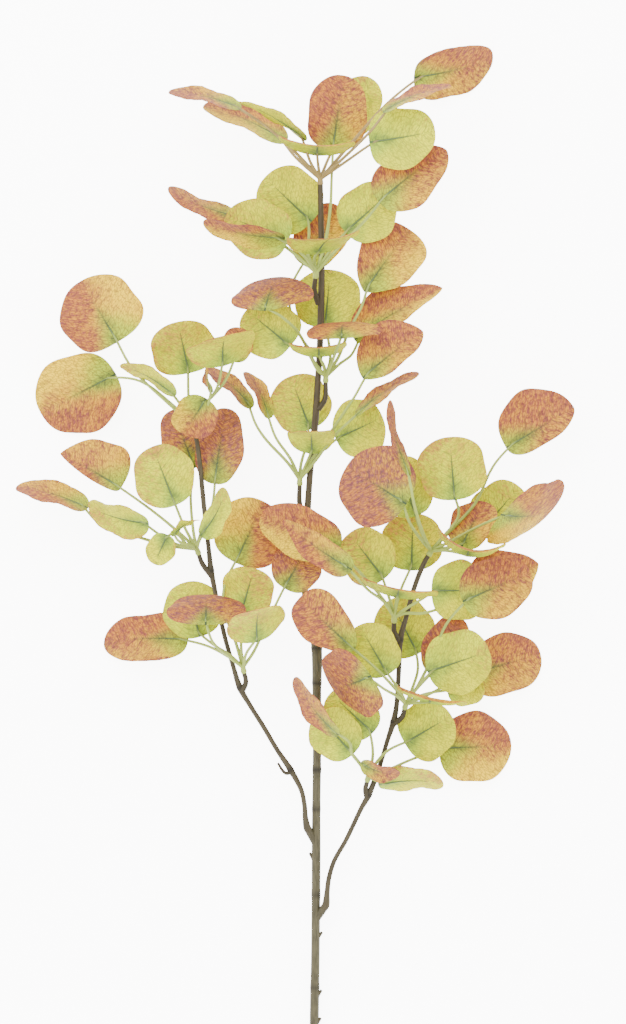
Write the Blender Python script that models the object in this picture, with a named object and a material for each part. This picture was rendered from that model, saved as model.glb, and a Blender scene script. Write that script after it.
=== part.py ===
"""Cut eucalyptus branch lying on a surface, at its real size.

+X is to the right, +Y runs along the main stem from the cut end to the tip,
and +Z is up from the surface. The branch is one main stem, two side branches
that plug into it, and eleven sprays: each spray is a small collar that sits
on a peg of its stem, with the leaf stalks and the wavy leaves that grow from it.

Tables are in millimetres, with X and Y measured from the main stem's middle
and the photographed lower end. The finished branch is then moved so that the
origin is at the middle of its footprint, on the surface.
"""
import math
from typing import NamedTuple

import bmesh
import bpy
from mathutils import Matrix, Vector

MM = 0.001

# Blades
BLADE_THICKNESS = 0.7
BLADE_STEPS = 6
BLADE_COLUMNS = 2
EDGE_WAVES = 1.7
EDGE_WAVE_HEIGHT = 1.3
OUTLINE_WAVES = 1.6
OUTLINE_WAVE_SHARE = 0.045
STALK_SINK = 0.09

# Stalks, collars and pegs
STALK_RADIUS_AT_FORK = 1.4
STALK_RADIUS_AT_LEAF = 0.9
STALK_SIDES_LEVEL = 0
COLLAR_LENGTH = 5.0
COLLAR_RADIUS = 2.1
COLLAR_END_SHARE = 0.8
COLLAR_SIDES_LEVEL = 1
FORK_DEPTH = 3.2
PEG_ROOT_RADIUS = 2.3
PEG_TIP_RADIUS = 1.7
SEAT_GAP = 0.3
SOCKET_STRAIGHT = 3.0

# Stems
STEM_SIDES_LEVEL = 2

# Meshes
BAR_STEPS = 1
MERGE_DISTANCE = 0.01
ROUGHNESS = 0.6

# Which side of a leaf faces up
UPPER = "upper"
UNDER = "under"


class Leaf(NamedTuple):
    """One leaf: a blade from base to tip, and the stalk that carries it.

    A positive roll lifts the left edge, looking from base to tip. A leaf that points up or
    down has a heading instead, the direction of its breadth in the X-Y plane. base_form and
    tip_form set how full the outline is at each end, and skew widens the left half.
    """
    name: str
    side: str
    base: tuple
    tip: tuple
    width: float
    stalk: tuple
    roll: float = 0.0
    heading: float = None
    cup: float = 14.0
    bow: float = 3.0
    phase: float = 0.0
    base_form: float = 0.38
    tip_form: float = 0.44
    skew: float = 0.0
    rests: bool = False


class Spray(NamedTuple):
    """A peg of the stem that carries it, given from its root to its end, and its leaves."""
    name: str
    peg: tuple
    leaves: tuple


# Each leaf: the side that faces up, base, tip, width, stalk, then how it turns and bends.
TOP_SPRAY = Spray("top_spray", ((3, 600, 55.2), (2.5, 630, 56)), (
    Leaf("a", UPPER, (49, 682, 90), (100, 702, 86), 30, ((18, 647, 68), (40, 668, 84)),
         roll=-70, cup=8, phase=0.4),
    Leaf("b", UPPER, (73, 711, 30), (133, 727, 6), 46, ((22, 656, 58), (52, 690, 46)),
         roll=40, phase=1.1, base_form=0.3, rests=True),
    Leaf("c", UNDER, (39, 660, 76), (88, 668, 88), 47, ((20, 645, 66),),
         roll=-8, cup=10, phase=2.0, base_form=0.3),
    Leaf("e", UNDER, (18, 670, 38), (42, 710, 26), 38, ((8, 648, 47),),
         roll=10, phase=3.4),
    Leaf("f", UNDER, (0, 651, 62), (0, 656, 106), 58, ((1, 643, 58),),
         heading=-4, cup=18, phase=0.8),
    Leaf("g", UPPER, (-57, 686, 62), (-111, 699, 56), 30, ((-18, 655, 64), (-40, 674, 64)),
         roll=66, cup=8, phase=1.7),
    Leaf("h", UPPER, (-23, 662, 46), (-85, 690, 36), 38, ((-16, 650, 50),),
         roll=58, cup=16, phase=2.2),
    Leaf("i", UNDER, (-8, 662, 68), (-57, 690, 76), 28, ((-5, 646, 62),),
         roll=-77, cup=10, phase=4.1),
))

THIRD_SPRAY = Spray("third_spray", ((1, 540, 53.5), (-2, 550, 57.5), (-1, 560, 61)), (
    Leaf("a", UNDER, (-4, 602, 44), (-39, 635, 54), 51, ((-7, 578, 54), (-6, 592, 47)),
         roll=4, cup=-10, phase=0.3),
    Leaf("b", UNDER, (-22, 586, 60), (-68, 606, 66), 44, ((-10, 576, 61),),
         roll=-6, phase=1.2, base_form=0.32),
    Leaf("c", UPPER, (-24, 588, 86), (-85, 600, 82), 31, ((-8, 574, 74),),
         roll=-61, cup=12, phase=2.4),
    Leaf("d", UPPER, (-56, 605, 46), (-112, 627, 40), 30, ((-20, 580, 53), (-42, 596, 48)),
         roll=-64, cup=10, phase=3.3),
    Leaf("e", UNDER, (0, 577, 72), (12, 587, 114), 55, ((-2, 573, 66),),
         heading=10, cup=18, phase=0.9),
    Leaf("f", UNDER, (21, 594, 52), (54, 624, 58), 45, ((10, 580, 60),),
         roll=-10, cup=12, phase=1.9),
    Leaf("g", UPPER, (46, 616, 70), (97, 655, 62), 44, ((18, 584, 65), (36, 602, 69)),
         roll=-18, cup=-12, phase=2.6, tip_form=0.62),
    Leaf("h", UPPER, (11.5, 655, 52), (19.5, 712, 42), 46, ((6, 585, 60), (10, 612, 57), (11, 635, 54)),
         roll=6, cup=-14, phase=2.9),
))

SECOND_SPRAY = Spray("second_spray", ((1, 461, 49.5), (6, 469, 50.5), (6.5, 482, 51.5)), (
    Leaf("a", UNDER, (6, 522, 42), (10, 566, 44), 52, ((10, 500, 47),),
         cup=8, phase=0.2),
    Leaf("b", UNDER, (-20, 508, 58), (-53, 535, 66), 45, ((0, 491, 58), (-8, 504, 59)),
         roll=-6, phase=1.0, base_form=0.3),
    Leaf("c", UPPER, (-39, 534, 90), (-29, 560, 58), 64, ((-2, 496, 62), (-14, 518, 76), (-27, 530, 87)),
         heading=16, cup=-18, phase=2.1, base_form=0.6, tip_form=0.6),
    Leaf("d", UPPER, (35.5, 549, 56), (69, 597, 32), 50, ((16, 500, 56), (24, 520, 59), (33, 537, 58)),
         roll=-4, cup=8, phase=3.0, base_form=0.72, tip_form=0.42),
    Leaf("e", UPPER, (28, 513, 54), (94, 552, 52), 40, ((17, 495, 54), (26, 502, 54)),
         roll=-46, phase=1.5, tip_form=0.7, skew=0.3),
    Leaf("f", UPPER, (18, 513, 110), (20, 526, 74), 56, ((11, 496, 66), (15, 506, 94)),
         heading=4, cup=-14, phase=2.7),
    Leaf("g", UNDER, (1.5, 500, 64), (1.5, 506, 104), 44, ((5, 493, 58),),
         heading=2, cup=16, phase=0.6),
    Leaf("h", UPPER, (-11, 570, 36), (17, 614, 26), 38,
         ((4, 496, 44), (-10, 512, 42), (-20, 535, 42), (-19, 554, 40)),
         roll=4, cup=10, phase=1.3),
))

FIRST_SPRAY = Spray("first_spray", ((-8.5, 376, 42), (-13, 390, 43), (-13, 405, 44.5)), (
    Leaf("a", UNDER, (-5, 446, 36), (-20, 486, 42), 46, ((-12, 420, 42), (-8, 435, 38)),
         phase=0.1),
    Leaf("b", UNDER, (-4, 428, 60), (-4, 444, 96), 36, ((-9, 418, 52),),
         heading=0, cup=18, phase=0.7),
    Leaf("c", UNDER, (14, 439, 54), (49, 455, 70), 45, ((-6, 420, 52), (4, 430, 54)),
         roll=-6, cup=10, phase=1.4),
    Leaf("d", UPPER, (29, 456, 80), (76, 488, 76), 28, ((0, 424, 58), (12, 440, 68)),
         roll=-70, cup=8, phase=2.3),
    Leaf("e", UPPER, (34, 484, 80), (79, 519, 75), 38, ((-2, 426, 56), (16, 452, 67), (28, 470, 76)),
         roll=-20, phase=3.1, base_form=0.6, tip_form=0.62, skew=0.35),
    Leaf("f", UPPER, (-36, 454, 58), (-54, 489, 52), 28, ((-20, 424, 50), (-31, 440, 54)),
         roll=66, cup=10, phase=1.6),
    Leaf("g", UPPER, (-49, 462, 54), (-83, 492, 46), 28, ((-22, 421, 50), (-38, 438, 52), (-46, 450, 54)),
         roll=64, cup=8, phase=2.8),
))

LEFT_TIP_SPRAY = Spray("left_tip_spray", ((-89, 430, 47), (-92, 446, 48)), (
    Leaf("a", UPPER, (-149.5, 511.5, 46), (-178, 557.5, 34), 62, ((-112, 466, 54), (-138, 491, 50)),
         roll=4, cup=12, phase=0.5, base_form=0.3),
    Leaf("b", UPPER, (-151.5, 488, 30), (-209, 459, 6), 61, ((-108, 464, 48), (-132, 482, 38)),
         roll=-6, cup=12, phase=1.2, rests=True),
    Leaf("c", UNDER, (-106, 471, 62), (-147, 494, 68), 32, ((-99, 460, 58),),
         roll=-70, cup=10, phase=2.0),
    Leaf("d", UNDER, (-96, 488, 54), (-104, 526, 76), 50, ((-96, 466, 54),),
         cup=10, phase=2.9, base_form=0.3),
    Leaf("e", UNDER, (-70.5, 493, 78), (-68, 515, 114), 53, ((-86, 462, 62), (-75, 476, 72)),
         heading=20, phase=0.9, tip_form=0.5),
    Leaf("f", UPPER, (-62, 496, 70), (-58, 522, 68), 24, ((-88, 460, 58), (-70, 480, 66)),
         cup=10, phase=1.8),
    Leaf("g", UPPER, (-83, 469, 72), (-101, 443, 64), 36, ((-87, 460, 66),),
         roll=-14, cup=34, phase=3.2),
    Leaf("h", UPPER, (-78, 474, 76), (-82, 497, 65), 17, ((-82, 463, 70),),
         roll=-78, cup=8, phase=0.6),
))

LEFT_MIDDLE_SPRAY = Spray("left_middle_spray", ((-79, 336, 42), (-86, 345, 44), (-89, 353, 47)), (
    Leaf("a", UNDER, (-87, 366, 66), (-68, 401, 76), 34, ((-89, 360, 58),),
         roll=-58, cup=12, phase=0.4),
    Leaf("b", UNDER, (-112, 367, 62), (-122, 345, 64), 22, ((-97, 359, 56), (-106, 368, 60)),
         cup=10, phase=1.1),
    Leaf("c", UNDER, (-106, 389, 54), (-123, 433, 66), 46, ((-99, 372, 52),),
         roll=4, cup=12, phase=1.9),
    Leaf("d", UNDER, (-126, 375, 54), (-171, 388, 68), 42, ((-106, 360, 50), (-118, 367, 52)),
         roll=58, cup=12, phase=2.6),
    Leaf("e", UPPER, (-172, 387, 44), (-226, 403, 34), 36,
         ((-112, 359, 46), (-146, 369, 46), (-164, 376, 45)),
         roll=62, cup=12, phase=3.3),
    Leaf("f", UPPER, (-147, 402, 44), (-193, 428, 34), 34, ((-104, 369, 46), (-125, 386, 46)),
         roll=12, phase=0.7, base_form=0.34, tip_form=0.7, skew=-0.6),
    Leaf("g", UPPER, (-92, 417, 30), (-109, 461, 22), 34, ((-93, 370, 38), (-95, 395, 33)),
         cup=12, phase=1.5),
    Leaf("h", UPPER, (-77, 405, 41), (-68, 462, 35), 36, ((-88, 366, 38), (-79, 388, 36)),
         roll=-10, cup=-12, phase=2.2),
    Leaf("i", UNDER, (-108, 366, 74), (-88, 378, 82), 18, ((-95, 359, 62), (-103, 362, 70)),
         roll=76, cup=8, phase=0.2),
))

LEFT_LOWER_SPRAY = Spray("left_lower_spray", ((-57, 248, 33), (-53.5, 256, 36), (-55, 264, 39)), (
    Leaf("a", UPPER, (-97, 288, 24), (-161, 286, 8), 42, ((-66, 275, 41), (-82, 283, 31)),
         roll=30, cup=12, phase=0.2, rests=True),
    Leaf("b", UNDER, (-88, 290, 26), (-100, 331, 32), 44, ((-65, 276, 41), (-79, 285, 32)),
         cup=10, phase=1.0),
    Leaf("c", UPPER, (-83, 300, 82), (-83, 322, 46), 58, ((-66, 276, 52), (-78, 287, 73)),
         heading=0, cup=-12, phase=1.8),
    Leaf("d", UNDER, (-45, 287, 68), (-43, 312, 104), 46, ((-53, 278, 54),),
         heading=22, cup=16, phase=2.5),
    Leaf("e", UNDER, (-57, 308, 46), (-47, 342, 62), 40, ((-57, 284, 44),),
         cup=10, phase=3.4),
    Leaf("f", UPPER, (-61.5, 346, 46), (-40, 392, 36), 56, ((-61, 286, 42), (-70, 312, 48), (-69, 330, 48)),
         roll=6, cup=12, phase=0.6),
    Leaf("g", UPPER, (-25, 327, 52), (-7, 358, 46), 38, ((-47, 280, 45), (-37, 302, 50)),
         roll=6, cup=22, phase=1.3),
))

RIGHT_LOWER_SPRAY = Spray("right_lower_spray", ((38, 168, 22.5), (36.5, 175, 25), (38, 182, 28)), (
    Leaf("a", UNDER, (27, 202, 40), (0, 232, 56), 38, ((34, 193, 34),),
         cup=10, phase=0.3),
    Leaf("b", UPPER, (16, 217, 70), (-17, 260, 64), 32, ((32, 195, 38), (26, 203, 52), (24, 212, 64)),
         roll=-62, cup=10, phase=1.2),
    Leaf("c", UPPER, (33, 196, 48), (62, 187, 46), 24, ((36, 191, 38),),
         roll=56, phase=2.0),
    Leaf("d", UNDER, (46, 179, 32), (95, 180, 38), 40, ((42, 183, 31),),
         roll=62, cup=12, phase=2.7),
    Leaf("e", UNDER, (66, 210, 27), (101, 231, 36), 45, ((45, 196, 34), (54, 205, 34)),
         roll=-4, cup=12, phase=3.3, base_form=0.3),
    Leaf("f", UPPER, (92, 206, 22), (147, 207, 6), 54, ((51, 189, 31.5), (72, 198, 26)),
         cup=10, phase=0.8, tip_form=0.5, rests=True),
    Leaf("g", UNDER, (42, 218, 38), (10, 248, 44), 38, ((42, 202, 36),),
         cup=10, phase=1.6),
))

RIGHT_MIDDLE_SPRAY = Spray("right_middle_spray", ((57, 224, 31), (64, 230, 35), (66, 237, 40)), (
    Leaf("a", UPPER, (40, 262, 94), (12, 251, 60), 60, ((60, 246, 60), (50, 252, 82)),
         heading=-47, cup=-12, phase=0.1),
    Leaf("b", UNDER, (53, 262, 52), (31, 299, 62), 38, ((62, 250, 49),),
         roll=-10, cup=10, phase=0.9),
    Leaf("c", UNDER, (84, 241, 58), (85, 244, 102), 52, ((74, 241, 52),),
         heading=-13, cup=8, phase=1.7),
    Leaf("d", UNDER, (83, 264, 50), (129, 280, 64), 48, ((75, 252, 48),),
         roll=-4, cup=12, phase=2.4),
    Leaf("e", UNDER, (98, 250, 38), (126, 252, 42), 26, ((80, 247, 44),),
         cup=10, phase=3.1),
    Leaf("f", UPPER, (112, 261, 26), (169, 277, 6), 46, ((84, 247, 38), (100, 255, 30)),
         cup=12, phase=0.5, rests=True),
    Leaf("g", UPPER, (87, 262, 36), (107, 305, 32), 34, ((74, 250, 40),),
         cup=10, phase=1.4),
    Leaf("h", UPPER, (109, 317, 60), (160, 339, 52), 46, ((76, 254, 42), (88, 278, 42), (97, 300, 52)),
         cup=-12, phase=2.2),
    Leaf("i", UNDER, (76, 277, 22), (55, 318, 28), 44, ((72, 252, 32), (76, 266, 25)),
         cup=10, phase=2.9),
    Leaf("j", UPPER, (28, 281, 76), (-13, 320, 68), 38, ((60, 250, 56), (44, 267, 70)),
         roll=-6, cup=16, phase=0.7, base_form=0.6, tip_form=0.34),
))

RIGHT_UPPER_SPRAY = Spray("right_upper_spray", ((62, 287, 38), (58, 294, 42), (58, 302, 46)), (
    Leaf("a", UPPER, (26, 341, 102), (-25, 378, 96), 29, ((50, 317, 62), (38, 326, 80)),
         roll=-38, cup=16, phase=0.2, tip_form=0.75),
    Leaf("b", UPPER, (17, 356, 76), (-42, 381, 68), 42, ((50, 318, 56), (32, 339, 66)),
         roll=-20, cup=-24, phase=1.0),
    Leaf("c", UNDER, (60, 320, 62), (61, 326, 106), 57, ((59, 314, 56),),
         heading=-11, cup=12, phase=1.8),
    Leaf("d", UNDER, (50.5, 334, 52), (24, 368, 62), 42, ((54, 320, 51),),
         cup=10, phase=2.5),
    Leaf("e", UNDER, (71, 340, 34), (72, 383, 46), 46, ((60, 316, 44), (64, 328, 36)),
         cup=8, phase=3.2),
    Leaf("f", UNDER, (86, 325, 44), (128, 325, 48), 46, ((66, 311, 50), (76, 317, 48)),
         cup=10, phase=0.6),
    Leaf("g", UPPER, (116, 325, 28), (167, 345, 18), 46, ((66, 308, 49), (80, 308, 42), (98, 314, 32)),
         cup=12, phase=1.5, tip_form=0.75),
))

RIGHT_TIP_SPRAY = Spray("right_tip_spray", ((80, 345, 44), (84, 352, 45)), (
    Leaf("a", UPPER, (108, 357, 56), (128, 391, 44), 36, ((96, 357, 52),),
         roll=-30, phase=0.3),
    Leaf("b", UNDER, (112, 351, 66), (114, 355, 106), 56, ((98, 355, 58),),
         heading=-12, cup=42, phase=1.1),
    Leaf("c", UNDER, (122, 368, 38), (152, 403, 46), 42, ((102, 358, 43),),
         cup=10, phase=1.9),
    Leaf("d", UPPER, (137, 382, 100), (175, 384, 56), 74, ((100, 362, 58), (122, 374, 84)),
         heading=34, cup=-14, phase=2.6, base_form=0.44),
    Leaf("e", UNDER, (103, 393, 66), (99, 440, 82), 52, ((95, 366, 54), (106, 381, 59)),
         cup=12, phase=3.3),
    Leaf("f", UPPER, (142, 432, 46), (193, 463, 36), 44, ((104, 374, 50), (119, 391, 50), (132, 418, 47)),
         phase=0.8, tip_form=0.5, skew=0.4),
    Leaf("g", UPPER, (66.5, 390, 98), (22, 418, 88), 62, ((79, 362, 62), (69, 376, 86)),
         cup=-10, phase=1.6),
    Leaf("h", UNDER, (74, 381, 53), (60, 425, 58), 40, ((79, 367, 50),),
         cup=10, phase=2.3),
    Leaf("i", UPPER, (69, 411, 116), (54, 467, 112), 24, ((80, 366, 72), (72, 390, 112)),
         roll=-72, cup=8, phase=3.0),
))

MAIN_STEM_SPRAYS = (FIRST_SPRAY, SECOND_SPRAY, THIRD_SPRAY, TOP_SPRAY)
LEFT_BRANCH_SPRAYS = (LEFT_LOWER_SPRAY, LEFT_MIDDLE_SPRAY, LEFT_TIP_SPRAY)
RIGHT_BRANCH_SPRAYS = (RIGHT_LOWER_SPRAY, RIGHT_MIDDLE_SPRAY, RIGHT_UPPER_SPRAY, RIGHT_TIP_SPRAY)
TIP_SPRAYS = (TOP_SPRAY, LEFT_TIP_SPRAY, RIGHT_TIP_SPRAY)

# Stem centrelines as (x, y, z, radius)
MAIN_STEM = (
    (-2, -50, 3.6, 3.5), (-2, 0, 7, 3.5), (-1.2, 50, 10.5, 3.3), (-0.8, 95, 14, 3.3),
    (-0.6, 128, 17, 3.4), (-0.5, 160, 20, 3.2), (0, 200, 24, 3.2), (-0.1, 250, 29, 3.4),
    (-0.3, 282, 32, 4.0), (-3, 292, 33, 3.0), (-9, 323, 36.5, 2.5), (-8.5, 350, 39, 2.5),
    (-7.5, 378, 41.5, 2.7), (-6, 402, 43.5, 2.4), (-5, 415, 45, 2.4), (-1.5, 450, 48, 2.6),
    (0.5, 480, 50, 2.4), (2, 505, 51.5, 2.4), (3, 535, 53, 2.6), (3.5, 570, 54.2, 2.3),
    (3, 600, 55.2, 2.2), (2.5, 630, 56, 2.0),
)
LEFT_SOCKET = ((-0.6, 133, 17.5, 2.6), (-6, 143.5, 21, 2.9))
LEFT_BRANCH = (
    (-8.8, 154, 23.2, 2.2), (-9.4, 163, 23.8, 1.9), (-12, 175, 24.3, 1.9), (-20, 190, 25, 2.3),
    (-30, 205, 26.5, 1.9), (-40, 222, 28.5, 1.9), (-50, 238, 31, 1.9), (-58, 252, 33, 2.3),
    (-63, 268, 34.5, 1.8), (-70, 293, 37, 1.8), (-76, 322, 40, 1.8), (-79.5, 340, 42, 2.2),
    (-81.5, 358, 43.3, 1.8), (-85, 390, 45, 1.9), (-89, 430, 47, 1.8), (-92, 446, 48, 1.7),
)
RIGHT_SOCKET = ((-0.8, 76, 12.5, 2.6), (5, 85, 16, 2.9))
RIGHT_BRANCH = (
    (7.6, 97, 18.4, 2.1), (9, 108, 18.8, 1.9), (13, 121, 19.2, 1.8), (22, 137, 20, 1.8),
    (33, 160, 21.8, 1.9), (39, 171, 22.8, 2.3), (47, 192, 25.5, 1.8), (53, 212, 28.5, 1.8),
    (57.5, 226, 31, 2.3), (60, 240, 32.8, 1.9), (61.5, 265, 35.5, 1.9), (62.5, 288, 38, 2.3),
    (67, 305, 39.8, 1.8), (73, 327, 42, 1.9), (80, 345, 44, 1.9), (84, 352, 45, 1.7),
)

# Short bud stubs on the stems, as (x, y, z, radius)
MAIN_STEM_BUDS = (
    ((-0.6, -3, 6.9, 1.6), (2.8, 2, 7.5, 1.0)),
    ((0, 18, 8.2, 1.6), (3.4, 23, 9, 1.0)),
    ((0, 62, 11.5, 1.6), (3.8, 67, 12.4, 1.0)),
    ((-2, 121, 16.3, 1.6), (-5.4, 127, 17.4, 1.0)),
)
LEFT_BRANCH_BUDS = (((-19, 188, 25, 1.5), (-24, 187.5, 25.6, 1.3), (-29.5, 195, 26.4, 0.9)),)

# Colours, linear
LEAF_COLOUR = (0.36, 0.29, 0.12, 1.0)
TIP_LEAF_COLOUR = (0.42, 0.23, 0.10, 1.0)
STEM_COLOUR = (0.17, 0.14, 0.08, 1.0)
BRANCH_COLOUR = (0.20, 0.13, 0.06, 1.0)


def blade_axes(leaf):
    """Return the blade's long axis, breadth and upper-side normal, and its length."""
    base, tip = Vector(leaf.base), Vector(leaf.tip)
    along = (tip - base).normalized()
    if leaf.heading is None:
        breadth = Vector((0, 0, 1)).cross(along).normalized()
        breadth = Matrix.Rotation(math.radians(leaf.roll), 3, along) @ breadth
    else:
        heading = math.radians(leaf.heading)
        flat = Vector((math.cos(heading), math.sin(heading), 0))
        breadth = (flat - along * flat.dot(along)).normalized()
        if along.cross(breadth).z < 0:
            breadth = -breadth
    normal = along.cross(breadth)
    if leaf.side == UNDER:
        normal = -normal
    return along, breadth, normal, (tip - base).length


def half_width(leaf, run, reach):
    """Distance from the midrib to the edge that reach points to, at a fraction of the length."""
    first, last = leaf.base_form, leaf.tip_form
    widest = first / (first + last)
    peak = widest ** first * (1 - widest) ** last
    form = max(0.0, run) ** first * max(0.0, 1 - run) ** last / peak
    side = 1 if reach > 0 else -1
    wave = math.sin(2 * math.pi * OUTLINE_WAVES * run + 2 * leaf.phase + side)
    return 0.5 * leaf.width * form * (1 + leaf.skew * side) * (1 + OUTLINE_WAVE_SHARE * wave)


def blade_point(leaf, run, reach):
    """Point of the blade's middle surface, in mm.

    run goes from 0 at the base to 1 at the tip, and reach from -1 to 1 across the blade.
    """
    along, breadth, normal, length = blade_axes(leaf)
    bend = math.radians(leaf.cup) / (0.5 * leaf.width)
    spread = reach * half_width(leaf, run, reach)
    sideways = math.sin(bend * spread) / bend
    rise = (1 - math.cos(bend * spread)) / bend + 4 * leaf.bow * run * (1 - run)
    wave = math.sin(2 * math.pi * EDGE_WAVES * run + leaf.phase + 1.4 * reach)
    rise += EDGE_WAVE_HEIGHT * wave * reach * reach * math.sin(math.pi * run)
    return Vector(leaf.base) + along * (length * run) + breadth * sideways + normal * rise


def settled(leaf):
    """A leaf that rests on the surface is lowered until its lowest point touches it."""
    if not leaf.rests:
        return leaf
    steps = range(BLADE_STEPS + 1)
    lowest = min(
        blade_point(leaf, run_at(step), reach).z for step in steps for reach in (-1, 0, 1)
    )
    drop = lowest - 0.5 * BLADE_THICKNESS
    base, tip = Vector(leaf.base), Vector(leaf.tip)
    base.z -= drop
    tip.z -= drop
    return leaf._replace(base=tuple(base), tip=tuple(tip))


def run_at(step):
    """Fraction of the length at a row of the blade, with rows closer near both ends."""
    return 0.5 * (1 - math.cos(math.pi * step / BLADE_STEPS))


def new_object(name, mesh, colour=None):
    """Link a mesh as an object, with a material of its own where a colour is given."""
    body = bpy.data.objects.new(name, mesh)
    bpy.context.scene.collection.objects.link(body)
    if colour:
        material = bpy.data.materials.new(name)
        material.use_nodes = True
        shader = material.node_tree.nodes["Principled BSDF"]
        shader.inputs["Base Color"].default_value = colour
        shader.inputs["Roughness"].default_value = ROUGHNESS
        mesh.materials.clear()
        mesh.materials.append(material)
    return body


def blade(leaf):
    """A closed blade: a grid laid on the blade's surface, split into triangles and thickened."""
    shape = bmesh.new()
    bmesh.ops.create_grid(shape, x_segments=BLADE_COLUMNS, y_segments=BLADE_STEPS, size=1)
    for vert in shape.verts:
        step = round((vert.co.y + 1) / 2 * BLADE_STEPS)
        vert.co = blade_point(leaf, run_at(step), round(vert.co.x)) * MM
    bmesh.ops.remove_doubles(shape, verts=shape.verts, dist=MERGE_DISTANCE * MM)
    bmesh.ops.triangulate(shape, faces=shape.faces, quad_method="SHORT_EDGE")
    bmesh.ops.recalc_face_normals(shape, faces=shape.faces)
    half = 0.5 * BLADE_THICKNESS * MM
    shape.normal_update()
    lifts = [(vert, vert.normal.copy()) for vert in shape.verts]
    for vert, normal in lifts:
        vert.co += normal * half
    bmesh.ops.solidify(shape, geom=shape.faces[:], thickness=2 * half)
    bmesh.ops.recalc_face_normals(shape, faces=shape.faces)
    mesh = bpy.data.meshes.new(leaf.name)
    shape.to_mesh(mesh)
    shape.free()
    return new_object(leaf.name, mesh)


def tube(name, points, sides_level):
    """A round bar along smooth points (x, y, z, radius), with closed ends."""
    curve = bpy.data.curves.new(name, "CURVE")
    curve.dimensions = "3D"
    curve.bevel_depth = MM
    curve.bevel_resolution = sides_level
    curve.resolution_u = BAR_STEPS
    curve.use_fill_caps = True
    spline = curve.splines.new("BEZIER")
    spline.bezier_points.add(len(points) - 1)
    for knot, (x, y, z, radius) in zip(spline.bezier_points, points):
        knot.co = Vector((x, y, z)) * MM
        knot.radius = radius
        knot.handle_left_type = "AUTO"
        knot.handle_right_type = "AUTO"
    bar = bpy.data.objects.new(name, curve)
    bpy.context.scene.collection.objects.link(bar)
    bpy.context.view_layer.update()
    evaluated = bar.evaluated_get(bpy.context.evaluated_depsgraph_get())
    shape = bmesh.new()
    shape.from_mesh(evaluated.to_mesh())
    bmesh.ops.remove_doubles(shape, verts=shape.verts, dist=MERGE_DISTANCE * MM)
    bmesh.ops.triangulate(shape, faces=shape.faces)
    bmesh.ops.recalc_face_normals(shape, faces=shape.faces)
    mesh = bpy.data.meshes.new(name)
    shape.to_mesh(mesh)
    shape.free()
    bpy.data.objects.remove(bar)
    return new_object(name, mesh)


def union(name, pieces, colour):
    """Fuse pieces into one body with a single Boolean union, and drop the loose ones."""
    body = pieces[0]
    rest = bpy.data.collections.new(name)
    for piece in pieces[1:]:
        rest.objects.link(piece)
    cut = body.modifiers.new("union", "BOOLEAN")
    cut.operation = "UNION"
    cut.operand_type = "COLLECTION"
    cut.collection = rest
    cut.solver = "EXACT"
    bpy.context.view_layer.update()
    evaluated = body.evaluated_get(bpy.context.evaluated_depsgraph_get())
    mesh = bpy.data.meshes.new_from_object(evaluated)
    for piece in pieces:
        bpy.data.objects.remove(piece)
    bpy.data.collections.remove(rest)
    mesh.name = name
    return new_object(name, mesh, colour)


def stalk(leaf, fork):
    """The leaf's stalk, from inside the collar to a little way into the blade."""
    inside = blade_point(leaf, STALK_SINK, 0)
    route = [Vector(fork), *map(Vector, leaf.stalk), inside]
    last = len(route) - 1
    points = []
    for index, place in enumerate(route):
        share = index / last
        radius = STALK_RADIUS_AT_FORK + share * (STALK_RADIUS_AT_LEAF - STALK_RADIUS_AT_FORK)
        points.append((*place, radius))
    return tube("stalk_" + leaf.name, points, STALK_SIDES_LEVEL)


def collar_ends(spray):
    """Where the collar starts, just clear of its peg, and where it ends."""
    before, end = Vector(spray.peg[-2]), Vector(spray.peg[-1])
    direction = (end - before).normalized()
    start = end + direction * SEAT_GAP
    return start, start + direction * COLLAR_LENGTH


def build_spray(spray):
    """Collar, stalks and blades of one spray, fused into one body."""
    start, end = collar_ends(spray)
    fork = start.lerp(end, FORK_DEPTH / COLLAR_LENGTH)
    collar_points = [(*start, COLLAR_RADIUS), (*end, COLLAR_END_SHARE * COLLAR_RADIUS)]
    pieces = [tube("collar", collar_points, COLLAR_SIDES_LEVEL)]
    for row in spray.leaves:
        leaf = settled(row)
        pieces.append(stalk(leaf, fork))
        pieces.append(blade(leaf))
    colour = TIP_LEAF_COLOUR if spray in TIP_SPRAYS else LEAF_COLOUR
    return union(spray.name, pieces, colour)


def peg(spray):
    """The peg on a stem that a spray's collar sits on."""
    last = len(spray.peg) - 1
    points = []
    for index, place in enumerate(spray.peg):
        radius = PEG_ROOT_RADIUS + index / last * (PEG_TIP_RADIUS - PEG_ROOT_RADIUS)
        points.append((*place, radius))
    return tube("peg_" + spray.name, points, COLLAR_SIDES_LEVEL)


def build_stem(name, centreline, sprays, sockets, buds, colour):
    """A stem with its buds, and the pegs and sockets that carry what grows from it."""
    pieces = [tube(name + "_rod", centreline, STEM_SIDES_LEVEL)]
    pieces += [peg(spray) for spray in sprays if spray not in TIP_SPRAYS]
    pieces += [tube("socket", socket, STEM_SIDES_LEVEL) for socket in sockets]
    pieces += [tube("bud", bud, COLLAR_SIDES_LEVEL) for bud in buds]
    return union(name, pieces, colour)


def plugged(socket, centreline):
    """A side branch's centreline, started just clear of the socket that holds it."""
    before, end = Vector(socket[-2][:3]), Vector(socket[-1][:3])
    direction = (end - before).normalized()
    start = end + direction * SEAT_GAP
    straight = start + direction * SOCKET_STRAIGHT
    radius = socket[-1][3]
    return ((*start, radius), (*straight, radius), *centreline)


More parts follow.
